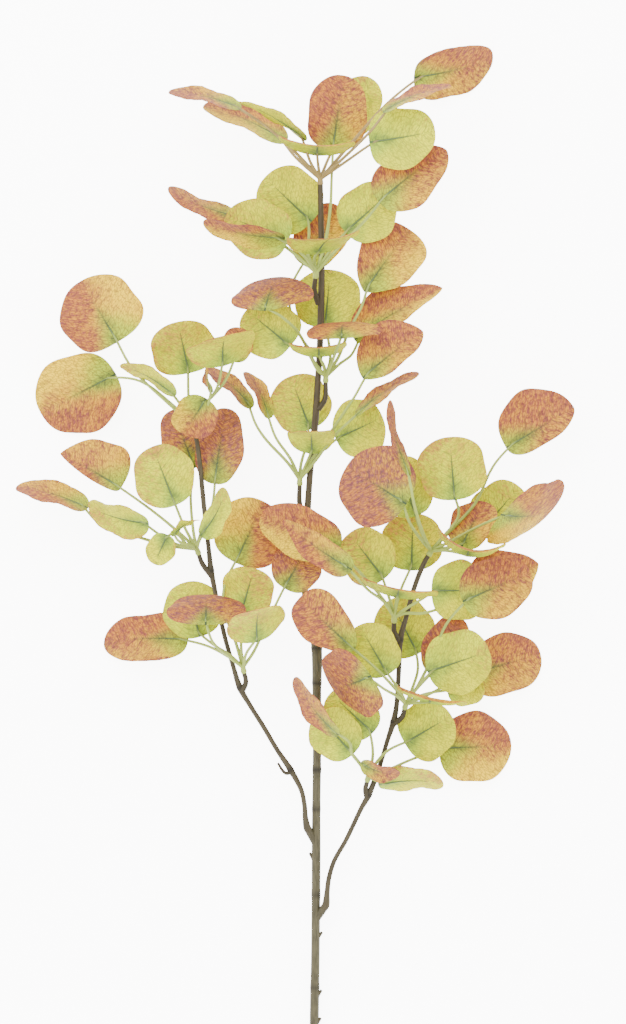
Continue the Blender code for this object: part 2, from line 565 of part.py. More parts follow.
def centre_on_surface(bodies):
    """Move everything so that the origin is under the middle of the footprint."""
    corners = [vert.co for body in bodies for vert in body.data.vertices]
    low = [min(corner[axis] for corner in corners) for axis in range(3)]
    high = [max(corner[axis] for corner in corners) for axis in range(3)]
    middle = Vector(((low[0] + high[0]) / 2, (low[1] + high[1]) / 2, low[2]))
    for body in bodies:
        body.data.transform(Matrix.Translation(-middle))


def main():
    """Build the branch."""
    for old in list(bpy.data.objects):
        bpy.data.objects.remove(old)
    bodies = [
        build_stem("main_stem", MAIN_STEM, MAIN_STEM_SPRAYS, (LEFT_SOCKET, RIGHT_SOCKET),
                   MAIN_STEM_BUDS, STEM_COLOUR),
        build_stem("left_branch", plugged(LEFT_SOCKET, LEFT_BRANCH), LEFT_BRANCH_SPRAYS, (),
                   LEFT_BRANCH_BUDS, BRANCH_COLOUR),
        build_stem("right_branch", plugged(RIGHT_SOCKET, RIGHT_BRANCH), RIGHT_BRANCH_SPRAYS, (),
                   (), BRANCH_COLOUR),
    ]
    for spray in MAIN_STEM_SPRAYS + LEFT_BRANCH_SPRAYS + RIGHT_BRANCH_SPRAYS:
        bodies.append(build_spray(spray))
    centre_on_surface(bodies)


main()
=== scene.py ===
"""Looks of the eucalyptus branch: moulded stems, leaf stalks and printed, wavy leaves.

The branch lies on a surface at Z = 0. +Y runs along the main stem towards its tip, +X is to the
right of it and +Z is up, towards the camera. Tables are in millimetres, with X and Y measured
from the main stem at the lower edge of the photographed part; ORIGIN is the point of that
drawing that the model's own frame has at its origin.
"""
import logging
import math
import random
from dataclasses import dataclass, replace
from enum import Enum
from functools import partial
from typing import Any, Callable, Iterable, Sequence

import bmesh
import bpy
from mathutils import Matrix, Vector


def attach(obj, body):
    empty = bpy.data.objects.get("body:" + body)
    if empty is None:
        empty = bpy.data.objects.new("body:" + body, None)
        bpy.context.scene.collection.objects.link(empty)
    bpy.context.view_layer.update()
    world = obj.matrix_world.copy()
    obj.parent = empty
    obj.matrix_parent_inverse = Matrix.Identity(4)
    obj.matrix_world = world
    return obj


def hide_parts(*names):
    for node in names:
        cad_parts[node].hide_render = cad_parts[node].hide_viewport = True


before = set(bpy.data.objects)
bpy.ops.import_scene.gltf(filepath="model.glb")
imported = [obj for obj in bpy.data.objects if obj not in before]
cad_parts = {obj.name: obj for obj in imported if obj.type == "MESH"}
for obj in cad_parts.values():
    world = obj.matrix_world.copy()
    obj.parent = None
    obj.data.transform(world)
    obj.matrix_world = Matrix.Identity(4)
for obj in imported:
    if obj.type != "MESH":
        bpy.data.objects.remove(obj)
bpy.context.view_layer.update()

LOG = logging.getLogger("eucalyptus")

MM = 0.001
ORIGIN = Vector((-16.448, 342.798, 0.039))
IMAGE_HEIGHT_MM = 768.0
PHOTO_MIDDLE = Vector((-3.0, 384.0, 50.0))
CAMERA_DISTANCE = 6000.0
SENSOR_MM = 36.0
SEED = 11

BLADE_THICKNESS = 0.4
BLADE_ROWS = 30
BLADE_COLUMNS = 18
COLUMN_BUNCHING = 1.3
EDGE_WAVES = 1.7
EDGE_WAVE_HEIGHT = 1.3
OUTLINE_WAVES = 1.6
OUTLINE_WAVE_SHARE = 0.045
RIPPLES = 7.0
RIPPLE_HEIGHT = 0.25
VEIN_SPACING = 6.2
VEIN_SLOPE = 0.62
VEIN_RELIEF = 0.16
MIDRIB_GROOVE = 0.35
MIDRIB_GROOVE_WIDTH = 1.6
REST_HEIGHT = 0.35

STALK_SINK = 0.09
STALK_RADIUS_AT_FORK = 1.4
STALK_RADIUS_AT_LEAF = 0.9
STALK_SIDES = 10
STALK_STEPS = 5
BAR_SIDES = 14
BAR_STEPS = 6
STEM_SIDES = 20
STEM_STEPS = 12
JOINT_LENGTH = 1.8
JOINT_SWELL = 0.35
COLLAR_LENGTH = 5.0
COLLAR_RADIUS = 2.1
FORK_DEPTH = 3.2
PEG_ROOT_RADIUS = 2.3
PEG_TIP_RADIUS = 1.7
SEAT_GAP = 0.3
SEAT_LAP = 1.2
FOOT_TAPER = 0.9
SOCKET_STRAIGHT = 3.0
RING_MERGE = 0.002
BLADE_MERGE = 0.005

# Share of a collar's length, and the factor on its radius there
COLLAR_PROFILE = ((0, 0.92), (0.15, 1.1), (0.5, 1.0), (0.85, 0.92), (1, 0.7))
# Share of the blade's length, and the radius of the midrib there
MIDRIB_PROFILE = ((0.2, 0.62), (0.4, 0.42), (0.6, 0.26), (0.78, 0.12))
MIDRIB_DROP = 0.1
MIDRIB_SHADE_LEAD = 0.4

# The print of a cloth leaf: repeats of each pattern in a millimetre, and sizes in millimetres
WOBBLES_PER_MM = 0.12
BLOTCHES_PER_MM = 0.055
PATCHES_PER_MM = 0.34
SPECKS_PER_MM = 0.22
ROW_WANDER = 5.0
STREAK_SIZE = (1.0, 6.5)
NET_SIZE = (1.9, 3.4)
LEAF_BUMP = 0.2
LEAF_ROUGHNESS = 0.6
LEAF_SPECULAR = 0.12
LIGHT_THROUGH = 0.3
# How far apart in a pattern two leaves can start, so that no two look alike
PLACE_STEP = 900.0
STREAK_STEP = 700.0
NET_STEP = 500.0
# What each point of a blade carries: its place; its row among the side veins; its share of the
# length and of the half width; and how red and how yellow its leaf is printed
BLADE_LAYERS = ("leaf_mm", "leaf_row", "leaf_form", "leaf_tint")

STEM_GRAIN_LENGTH = 9.0
STEM_GRAINS_PER_RADIAN = 2.5
STEM_PATCHES_PER_M = 60.0
STEM_BUMP = 0.3
STEM_ROUGHNESS = 0.6
STEM_SPECULAR = 0.2
BAR_SHADE = 0.25

# Lights, floor and camera, with lengths in metres
SKY_STRENGTH = 3.4
CARD_GLOW = 8.0
CARD_LIGHT = 2.5
CARD_HALF_SIZE = 3.0
CARD_DEPTH = 0.0002
LAMP_WATTS = 60.0
LAMP_SIZE = 2.0
LAMP_PLACE = (-0.7, 0.9, 2.2)
CAMERA_REACH = 20.0

# A function that adds a shader node, and the setting of a share with a soft start and end
Adder = Callable[..., bpy.types.Node]
SOFT = {"interpolation_type": "SMOOTHSTEP"}


class Side(Enum):
    """The side of a leaf that faces up from the surface."""

    UPPER = "upper"
    UNDER = "under"


class Tone(Enum):
    """The main colour that a leaf is printed in."""

    GREEN = "green"
    BLUSH = "blush"
    TERRACOTTA = "terracotta"
    ORANGE = "orange"
    ROSE = "rose"
    BROWN = "brown"


UPPER = Side.UPPER
UNDER = Side.UNDER


@dataclass(frozen=True)
class Leaf:
    """One leaf: where its blade lies, how it bends, and the stalk that carries it.

    A positive roll lifts the left edge, looking from base to tip. A leaf that points up or down
    has a heading instead, the direction of its breadth in the X-Y plane. base_form and tip_form
    set how full the outline is at each end, and skew widens the left half.
    """

    name: str
    side: Side
    base: tuple[float, float, float]
    tip: tuple[float, float, float]
    width: float
    stalk: tuple[tuple[float, float, float], ...]
    roll: float = 0.0
    heading: float | None = None
    cup: float = 14.0
    bow: float = 3.0
    phase: float = 0.0
    base_form: float = 0.38
    tip_form: float = 0.44
    skew: float = 0.0
    rests: bool = False


@dataclass(frozen=True)
class Spray:
    """The peg that a spray sits on, from its root to its end, and the leaves of the spray."""

    name: str
    peg: tuple[tuple[float, float, float], ...]
    leaves: tuple[Leaf, ...]


# Each leaf: the side that faces up, base, tip, width, stalk, then how it turns and bends.
TOP_SPRAY = Spray("top_spray", ((3, 600, 55.2), (2.5, 630, 56)), (
    Leaf("a", UPPER, (49, 682, 90), (100, 702, 86), 30, ((18, 647, 68), (40, 668, 84)),
         roll=-70, cup=8, phase=0.4),
    Leaf("b", UPPER, (73, 711, 30), (133, 727, 6), 46, ((22, 656, 58), (52, 690, 46)),
         roll=40, phase=1.1, base_form=0.3, rests=True),
    Leaf("c", UNDER, (39, 660, 76), (88, 668, 88), 47, ((20, 645, 66),),
         roll=-8, cup=10, phase=2.0, base_form=0.3),
    Leaf("e", UNDER, (18, 670, 38), (42, 710, 26), 38, ((8, 648, 47),),
         roll=10, phase=3.4),
    Leaf("f", UNDER, (0, 651, 62), (0, 656, 106), 58, ((1, 643, 58),),
         heading=-4, cup=18, phase=0.8),
    Leaf("g", UPPER, (-57, 686, 62), (-111, 699, 56), 30, ((-18, 655, 64), (-40, 674, 64)),
         roll=66, cup=8, phase=1.7),
    Leaf("h", UPPER, (-23, 662, 46), (-85, 690, 36), 38, ((-16, 650, 50),),
         roll=58, cup=16, phase=2.2),
    Leaf("i", UNDER, (-8, 662, 68), (-57, 690, 76), 28, ((-5, 646, 62),),
         roll=-77, cup=10, phase=4.1),
))

THIRD_SPRAY = Spray("third_spray", ((1, 540, 53.5), (-2, 550, 57.5), (-1, 560, 61)), (
    Leaf("a", UNDER, (-4, 602, 44), (-39, 635, 54), 51, ((-7, 578, 54), (-6, 592, 47)),
         roll=4, cup=-10, phase=0.3),
    Leaf("b", UNDER, (-22, 586, 60), (-68, 606, 66), 44, ((-10, 576, 61),),
         roll=-6, phase=1.2, base_form=0.32),
    Leaf("c", UPPER, (-24, 588, 86), (-85, 600, 82), 31, ((-8, 574, 74),),
         roll=-61, cup=12, phase=2.4),
    Leaf("d", UPPER, (-56, 605, 46), (-112, 627, 40), 30, ((-20, 580, 53), (-42, 596, 48)),
         roll=-64, cup=10, phase=3.3),
    Leaf("e", UNDER, (0, 577, 72), (12, 587, 114), 55, ((-2, 573, 66),),
         heading=10, cup=18, phase=0.9),
    Leaf("f", UNDER, (21, 594, 52), (54, 624, 58), 45, ((10, 580, 60),),
         roll=-10, cup=12, phase=1.9),
    Leaf("g", UPPER, (46, 616, 70), (97, 655, 62), 44, ((18, 584, 65), (36, 602, 69)),
         roll=-18, cup=-12, phase=2.6, tip_form=0.62),
    Leaf("h", UPPER, (11.5, 655, 52), (19.5, 712, 42), 46,
         ((6, 585, 60), (10, 612, 57), (11, 635, 54)),
         roll=6, cup=-14, phase=2.9),
))

SECOND_SPRAY = Spray("second_spray", ((1, 461, 49.5), (6, 469, 50.5), (6.5, 482, 51.5)), (
    Leaf("a", UNDER, (6, 522, 42), (10, 566, 44), 52, ((10, 500, 47),),
         cup=8, phase=0.2),
    Leaf("b", UNDER, (-20, 508, 58), (-53, 535, 66), 45, ((0, 491, 58), (-8, 504, 59)),
         roll=-6, phase=1.0, base_form=0.3),
    Leaf("c", UPPER, (-39, 534, 90), (-29, 560, 58), 64, ((-2, 496, 62), (-14, 518, 76), (-27, 530, 87)),
         heading=16, cup=-18, phase=2.1, base_form=0.6, tip_form=0.6),
    Leaf("d", UPPER, (35.5, 549, 56), (69, 597, 32), 50, ((16, 500, 56), (24, 520, 59), (33, 537, 58)),
         roll=-4, cup=8, phase=3.0, base_form=0.72, tip_form=0.42),
    Leaf("e", UPPER, (28, 513, 54), (94, 552, 52), 40, ((17, 495, 54), (26, 502, 54)),
         roll=-46, phase=1.5, tip_form=0.7, skew=0.3),
    Leaf("f", UPPER, (18, 513, 110), (20, 526, 74), 56, ((11, 496, 66), (15, 506, 94)),
         heading=4, cup=-14, phase=2.7),
    Leaf("g", UNDER, (1.5, 500, 64), (1.5, 506, 104), 44, ((5, 493, 58),),
         heading=2, cup=16, phase=0.6),
    Leaf("h", UPPER, (-11, 570, 36), (17, 614, 26), 38,
         ((4, 496, 44), (-10, 512, 42), (-20, 535, 42), (-19, 554, 40)),
         roll=4, cup=10, phase=1.3),
))

FIRST_SPRAY = Spray("first_spray", ((-8.5, 376, 42), (-13, 390, 43), (-13, 405, 44.5)), (
    Leaf("a", UNDER, (-5, 446, 36), (-20, 486, 42), 46, ((-12, 420, 42), (-8, 435, 38)),
         phase=0.1),
    Leaf("b", UNDER, (-4, 428, 60), (-4, 444, 96), 36, ((-9, 418, 52),),
         heading=0, cup=18, phase=0.7),
    Leaf("c", UNDER, (14, 439, 54), (49, 455, 70), 45, ((-6, 420, 52), (4, 430, 54)),
         roll=-6, cup=10, phase=1.4),
    Leaf("d", UPPER, (29, 456, 80), (76, 488, 76), 28, ((0, 424, 58), (12, 440, 68)),
         roll=-70, cup=8, phase=2.3),
    Leaf("e", UPPER, (34, 484, 80), (79, 519, 75), 38, ((-2, 426, 56), (16, 452, 67), (28, 470, 76)),
         roll=-20, phase=3.1, base_form=0.6, tip_form=0.62, skew=0.35),
    Leaf("f", UPPER, (-36, 454, 58), (-54, 489, 52), 28, ((-20, 424, 50), (-31, 440, 54)),
         roll=66, cup=10, phase=1.6),
    Leaf("g", UPPER, (-49, 462, 54), (-83, 492, 46), 28,
         ((-22, 421, 50), (-38, 438, 52), (-46, 450, 54)),
         roll=64, cup=8, phase=2.8),
))

LEFT_TIP_SPRAY = Spray("left_tip_spray", ((-89, 430, 47), (-92, 446, 48)), (
    Leaf("a", UPPER, (-149.5, 511.5, 46), (-178, 557.5, 34), 62, ((-112, 466, 54), (-138, 491, 50)),
         roll=4, cup=12, phase=0.5, base_form=0.3),
    Leaf("b", UPPER, (-151.5, 488, 30), (-209, 459, 6), 61, ((-108, 464, 48), (-132, 482, 38)),
         roll=-6, cup=12, phase=1.2, rests=True),
    Leaf("c", UNDER, (-106, 471, 62), (-147, 494, 68), 32, ((-99, 460, 58),),
         roll=-70, cup=10, phase=2.0),
    Leaf("d", UNDER, (-96, 488, 54), (-104, 526, 76), 50, ((-96, 466, 54),),
         cup=10, phase=2.9, base_form=0.3),
    Leaf("e", UNDER, (-70.5, 493, 78), (-68, 515, 114), 53, ((-86, 462, 62), (-75, 476, 72)),
         heading=20, phase=0.9, tip_form=0.5),
    Leaf("f", UPPER, (-62, 496, 70), (-58, 522, 68), 24, ((-88, 460, 58), (-70, 480, 66)),
         cup=10, phase=1.8),
    Leaf("g", UPPER, (-83, 469, 72), (-101, 443, 64), 36, ((-87, 460, 66),),
         roll=-14, cup=34, phase=3.2),
    Leaf("h", UPPER, (-78, 474, 76), (-82, 497, 65), 17, ((-82, 463, 70),),
         roll=-78, cup=8, phase=0.6),
))

LEFT_MIDDLE_SPRAY = Spray("left_middle_spray", ((-79, 336, 42), (-86, 345, 44), (-89, 353, 47)), (
    Leaf("a", UNDER, (-87, 366, 66), (-68, 401, 76), 34, ((-89, 360, 58),),
         roll=-58, cup=12, phase=0.4),
    Leaf("b", UNDER, (-112, 367, 62), (-122, 345, 64), 22, ((-97, 359, 56), (-106, 368, 60)),
         cup=10, phase=1.1),
    Leaf("c", UNDER, (-106, 389, 54), (-123, 433, 66), 46, ((-99, 372, 52),),
         roll=4, cup=12, phase=1.9),
    Leaf("d", UNDER, (-126, 375, 54), (-171, 388, 68), 42, ((-106, 360, 50), (-118, 367, 52)),
         roll=58, cup=12, phase=2.6),
    Leaf("e", UPPER, (-172, 387, 44), (-226, 403, 34), 36,
         ((-112, 359, 46), (-146, 369, 46), (-164, 376, 45)),
         roll=62, cup=12, phase=3.3),
    Leaf("f", UPPER, (-147, 402, 44), (-193, 428, 34), 34, ((-104, 369, 46), (-125, 386, 46)),
         roll=12, phase=0.7, base_form=0.34, tip_form=0.7, skew=-0.6),
    Leaf("g", UPPER, (-92, 417, 30), (-109, 461, 22), 34, ((-93, 370, 38), (-95, 395, 33)),
         cup=12, phase=1.5),
    Leaf("h", UPPER, (-77, 405, 41), (-68, 462, 35), 36, ((-88, 366, 38), (-79, 388, 36)),
         roll=-10, cup=-12, phase=2.2),
    Leaf("i", UNDER, (-108, 366, 74), (-88, 378, 82), 18, ((-95, 359, 62), (-103, 362, 70)),
         roll=76, cup=8, phase=0.2),
))

LEFT_LOWER_SPRAY = Spray("left_lower_spray", ((-57, 248, 33), (-53.5, 256, 36), (-55, 264, 39)), (
    Leaf("a", UPPER, (-97, 288, 24), (-161, 286, 8), 42, ((-66, 275, 41), (-82, 283, 31)),
         roll=30, cup=12, phase=0.2, rests=True),
    Leaf("b", UNDER, (-88, 290, 26), (-100, 331, 32), 44, ((-65, 276, 41), (-79, 285, 32)),
         cup=10, phase=1.0),
    Leaf("c", UPPER, (-83, 300, 82), (-83, 322, 46), 58, ((-66, 276, 52), (-78, 287, 73)),
         heading=0, cup=-12, phase=1.8),
    Leaf("d", UNDER, (-45, 287, 68), (-43, 312, 104), 46, ((-53, 278, 54),),
         heading=22, cup=16, phase=2.5),
    Leaf("e", UNDER, (-57, 308, 46), (-47, 342, 62), 40, ((-57, 284, 44),),
         cup=10, phase=3.4),
    Leaf("f", UPPER, (-61.5, 346, 46), (-40, 392, 36), 56,
         ((-61, 286, 42), (-70, 312, 48), (-69, 330, 48)),
         roll=6, cup=12, phase=0.6),
    Leaf("g", UPPER, (-25, 327, 52), (-7, 358, 46), 38, ((-47, 280, 45), (-37, 302, 50)),
         roll=6, cup=22, phase=1.3),
))

RIGHT_LOWER_SPRAY = Spray("right_lower_spray", ((38, 168, 22.5), (36.5, 175, 25), (38, 182, 28)), (
    Leaf("a", UNDER, (27, 202, 40), (0, 232, 56), 38, ((34, 193, 34),),
         cup=10, phase=0.3),
    Leaf("b", UPPER, (16, 217, 70), (-17, 260, 64), 32, ((32, 195, 38), (26, 203, 52), (24, 212, 64)),
         roll=-62, cup=10, phase=1.2),
    Leaf("c", UPPER, (33, 196, 48), (62, 187, 46), 24, ((36, 191, 38),),
         roll=56, phase=2.0),
    Leaf("d", UNDER, (46, 179, 32), (95, 180, 38), 40, ((42, 183, 31),),
         roll=62, cup=12, phase=2.7),
    Leaf("e", UNDER, (66, 210, 27), (101, 231, 36), 45, ((45, 196, 34), (54, 205, 34)),
         roll=-4, cup=12, phase=3.3, base_form=0.3),
    Leaf("f", UPPER, (92, 206, 22), (147, 207, 6), 54, ((51, 189, 31.5), (72, 198, 26)),
         cup=10, phase=0.8, tip_form=0.5, rests=True),
    Leaf("g", UNDER, (42, 218, 38), (10, 248, 44), 38, ((42, 202, 36),),
         cup=10, phase=1.6),
))

RIGHT_MIDDLE_SPRAY = Spray("right_middle_spray", ((57, 224, 31), (64, 230, 35), (66, 237, 40)), (
    Leaf("a", UPPER, (40, 262, 94), (12, 251, 60), 60, ((60, 246, 60), (50, 252, 82)),
         heading=-47, cup=-12, phase=0.1),
    Leaf("b", UNDER, (53, 262, 52), (31, 299, 62), 38, ((62, 250, 49),),
         roll=-10, cup=10, phase=0.9),
    Leaf("c", UNDER, (84, 241, 58), (85, 244, 102), 52, ((74, 241, 52),),
         heading=-13, cup=8, phase=1.7),
    Leaf("d", UNDER, (83, 264, 50), (129, 280, 64), 48, ((75, 252, 48),),
         roll=-4, cup=12, phase=2.4),
    Leaf("e", UNDER, (98, 250, 38), (126, 252, 42), 26, ((80, 247, 44),),
         cup=10, phase=3.1),
    Leaf("f", UPPER, (112, 261, 26), (169, 277, 6), 46, ((84, 247, 38), (100, 255, 30)),
         cup=12, phase=0.5, rests=True),
    Leaf("g", UPPER, (87, 262, 36), (107, 305, 32), 34, ((74, 250, 40),),
         cup=10, phase=1.4),
    Leaf("h", UPPER, (109, 317, 60), (160, 339, 52), 46, ((76, 254, 42), (88, 278, 42), (97, 300, 52)),
         cup=-12, phase=2.2),
    Leaf("i", UNDER, (76, 277, 22), (55, 318, 28), 44, ((72, 252, 32), (76, 266, 25)),
         cup=10, phase=2.9),
    Leaf("j", UPPER, (28, 281, 76), (-13, 320, 68), 38, ((60, 250, 56), (44, 267, 70)),
         roll=-6, cup=16, phase=0.7, base_form=0.6, tip_form=0.34),
))

RIGHT_UPPER_SPRAY = Spray("right_upper_spray", ((62, 287, 38), (58, 294, 42), (58, 302, 46)), (
    Leaf("a", UPPER, (26, 341, 102), (-25, 378, 96), 29, ((50, 317, 62), (38, 326, 80)),
         roll=-38, cup=16, phase=0.2, tip_form=0.75),
    Leaf("b", UPPER, (17, 356, 76), (-42, 381, 68), 42, ((50, 318, 56), (32, 339, 66)),
         roll=-20, cup=-24, phase=1.0),
    Leaf("c", UNDER, (60, 320, 62), (61, 326, 106), 57, ((59, 314, 56),),
         heading=-11, cup=12, phase=1.8),
    Leaf("d", UNDER, (50.5, 334, 52), (24, 368, 62), 42, ((54, 320, 51),),
         cup=10, phase=2.5),
    Leaf("e", UNDER, (71, 340, 34), (72, 383, 46), 46, ((60, 316, 44), (64, 328, 36)),
         cup=8, phase=3.2),
    Leaf("f", UNDER, (86, 325, 44), (128, 325, 48), 46, ((66, 311, 50), (76, 317, 48)),
         cup=10, phase=0.6),
    Leaf("g", UPPER, (116, 325, 28), (167, 345, 18), 46, ((66, 308, 49), (80, 308, 42), (98, 314, 32)),
         cup=12, phase=1.5, tip_form=0.75),
))

RIGHT_TIP_SPRAY = Spray("right_tip_spray", ((80, 345, 44), (84, 352, 45)), (
    Leaf("a", UPPER, (108, 357, 56), (128, 391, 44), 36, ((96, 357, 52),),
         roll=-30, phase=0.3),
    Leaf("b", UNDER, (112, 351, 66), (114, 355, 106), 56, ((98, 355, 58),),
         heading=-12, cup=42, phase=1.1),
    Leaf("c", UNDER, (122, 368, 38), (152, 403, 46), 42, ((102, 358, 43),),
         cup=10, phase=1.9),
    Leaf("d", UPPER, (137, 382, 100), (175, 384, 56), 74, ((100, 362, 58), (122, 374, 84)),
         heading=34, cup=-14, phase=2.6, base_form=0.44),
    Leaf("e", UNDER, (103, 393, 66), (99, 440, 82), 52, ((95, 366, 54), (106, 381, 59)),
         cup=12, phase=3.3),
    Leaf("f", UPPER, (142, 432, 46), (193, 463, 36), 44,
         ((104, 374, 50), (119, 391, 50), (132, 418, 47)),
         phase=0.8, tip_form=0.5, skew=0.4),
    Leaf("g", UPPER, (66.5, 390, 98), (22, 418, 88), 62, ((79, 362, 62), (69, 376, 86)),
         cup=-10, phase=1.6),
    Leaf("h", UNDER, (74, 381, 53), (60, 425, 58), 40, ((79, 367, 50),),
         cup=10, phase=2.3),
    Leaf("i", UPPER, (69, 411, 116), (54, 467, 112), 24, ((80, 366, 72), (72, 390, 112)),
         roll=-72, cup=8, phase=3.0),
))

MAIN_STEM_SPRAYS = (FIRST_SPRAY, SECOND_SPRAY, THIRD_SPRAY, TOP_SPRAY)
LEFT_BRANCH_SPRAYS = (LEFT_LOWER_SPRAY, LEFT_MIDDLE_SPRAY, LEFT_TIP_SPRAY)
RIGHT_BRANCH_SPRAYS = (RIGHT_LOWER_SPRAY, RIGHT_MIDDLE_SPRAY, RIGHT_UPPER_SPRAY, RIGHT_TIP_SPRAY)
TIP_SPRAYS = (TOP_SPRAY, LEFT_TIP_SPRAY, RIGHT_TIP_SPRAY)

# Stem centrelines as (x, y, z, radius)
MAIN_STEM = (
    (-2, -50, 3.6, 3.5), (-2, 0, 7, 3.5), (-1.2, 50, 10.5, 3.3), (-0.8, 95, 14, 3.3),
    (-0.6, 128, 17, 3.4), (-0.5, 160, 20, 3.2), (0, 200, 24, 3.2), (-0.1, 250, 29, 3.4),
    (-0.3, 282, 32, 4.0), (-3, 292, 33, 3.0), (-9, 323, 36.5, 2.5), (-8.5, 350, 39, 2.5),
    (-7.5, 378, 41.5, 2.7), (-6, 402, 43.5, 2.4), (-5, 415, 45, 2.4), (-1.5, 450, 48, 2.6),
    (0.5, 480, 50, 2.4), (2, 505, 51.5, 2.4), (3, 535, 53, 2.6), (3.5, 570, 54.2, 2.3),
    (3, 600, 55.2, 2.2), (2.5, 630, 56, 2.0),
)
LEFT_SOCKET = ((-0.6, 133, 17.5, 2.6), (-6, 143.5, 21, 2.9))
LEFT_BRANCH = (
    (-8.8, 154, 23.2, 2.2), (-9.4, 163, 23.8, 1.9), (-12, 175, 24.3, 1.9), (-20, 190, 25, 2.3),
    (-30, 205, 26.5, 1.9), (-40, 222, 28.5, 1.9), (-50, 238, 31, 1.9), (-58, 252, 33, 2.3),
    (-63, 268, 34.5, 1.8), (-70, 293, 37, 1.8), (-76, 322, 40, 1.8), (-79.5, 340, 42, 2.2),
    (-81.5, 358, 43.3, 1.8), (-85, 390, 45, 1.9), (-89, 430, 47, 1.8), (-92, 446, 48, 1.7),
)
RIGHT_SOCKET = ((-0.8, 76, 12.5, 2.6), (5, 85, 16, 2.9))
RIGHT_BRANCH = (
    (7.6, 97, 18.4, 2.1), (9, 108, 18.8, 1.9), (13, 121, 19.2, 1.8), (22, 137, 20, 1.8),
    (33, 160, 21.8, 1.9), (39, 171, 22.8, 2.3), (47, 192, 25.5, 1.8), (53, 212, 28.5, 1.8),
    (57.5, 226, 31, 2.3), (60, 240, 32.8, 1.9), (61.5, 265, 35.5, 1.9), (62.5, 288, 38, 2.3),
    (67, 305, 39.8, 1.8), (73, 327, 42, 1.9), (80, 345, 44, 1.9), (84, 352, 45, 1.7),
)

# Y of each swollen joint
MAIN_STEM_JOINTS = (24, 96, 161, 190, 256, 282)
LEFT_BRANCH_JOINTS = (190, 252, 340)
RIGHT_BRANCH_JOINTS = (171, 226, 288)

# Short bud stubs on the stems, as (x, y, z, radius)
MAIN_STEM_BUDS = (
    ((-0.6, -3, 6.9, 1.6), (2.8, 2, 7.5, 1.0)),
    ((0, 18, 8.2, 1.6), (3.4, 23, 9, 1.0)),
    ((0, 62, 11.5, 1.6), (3.8, 67, 12.4, 1.0)),
    ((-2, 121, 16.3, 1.6), (-5.4, 127, 17.4, 1.0)),
)
LEFT_BRANCH_BUDS = (((-19, 188, 25, 1.5), (-24, 187.5, 25.6, 1.3), (-29.5, 195, 26.4, 0.9)),)

# Leaves whose colour differs from their side's usual one: their letters in each spray
TONED_LEAVES = {
    Tone.ORANGE: {"left_lower_spray": "f", "left_tip_spray": "abg", "second_spray": "deh",
                  "third_spray": "c", "top_spray": "h", "right_lower_spray": "f",
                  "right_upper_spray": "bg", "right_tip_spray": "d"},
    Tone.ROSE: {"left_lower_spray": "c", "left_middle_spray": "gh", "right_middle_spray": "ag",
                "right_tip_spray": "gi"},
    Tone.BROWN: {"left_lower_spray": "g", "second_spray": "c"},
    Tone.BLUSH: {"first_spray": "a", "third_spray": "be", "left_tip_spray": "cde",
                 "left_middle_spray": "cd", "left_lower_spray": "de", "right_upper_spray": "de",
                 "right_lower_spray": "d", "right_tip_spray": "be"},
}

# Leaves that are yellower on the left of the midrib, looking from base to tip
YELLOW_ON_LEFT = {"left_lower_spray": "aef", "left_middle_spray": "g", "third_spray": "c",
                  "top_spray": "h", "right_middle_spray": "a", "right_upper_spray": "b"}

# How red the print is, and how much of it turns yellow, for each tone
TONE_VALUES = {
    Tone.GREEN: (0.12, 0.3),
    Tone.BLUSH: (0.45, 0.4),
    Tone.TERRACOTTA: (0.75, 0.55),
    Tone.ORANGE: (0.68, 1.0),
    Tone.ROSE: (1.0, 0.3),
    Tone.BROWN: (0.95, 0.45),
}
REDNESS_SPREAD = 0.08
GOLD_SPREAD = 0.1


def placed(point: Sequence[float]) -> Vector:
    """Return a drawing point, in millimetres, as a place in the model's frame."""
    return (Vector(point[:3]) - ORIGIN) * MM


def linear(code: str) -> tuple[float, float, float, float]:
    """Return an sRGB hex colour as linear values with full opacity.

    Args:
        code: Six hex digits, such as "c8ca62".

    Returns:
        Red, green, blue and alpha.
    """
    channels = []
    for start in (0, 2, 4):
        value = int(code[start:start + 2], 16) / 255
        channels.append(value / 12.92 if value <= 0.04045 else ((value + 0.055) / 1.055) ** 2.4)
    return (*channels, 1.0)


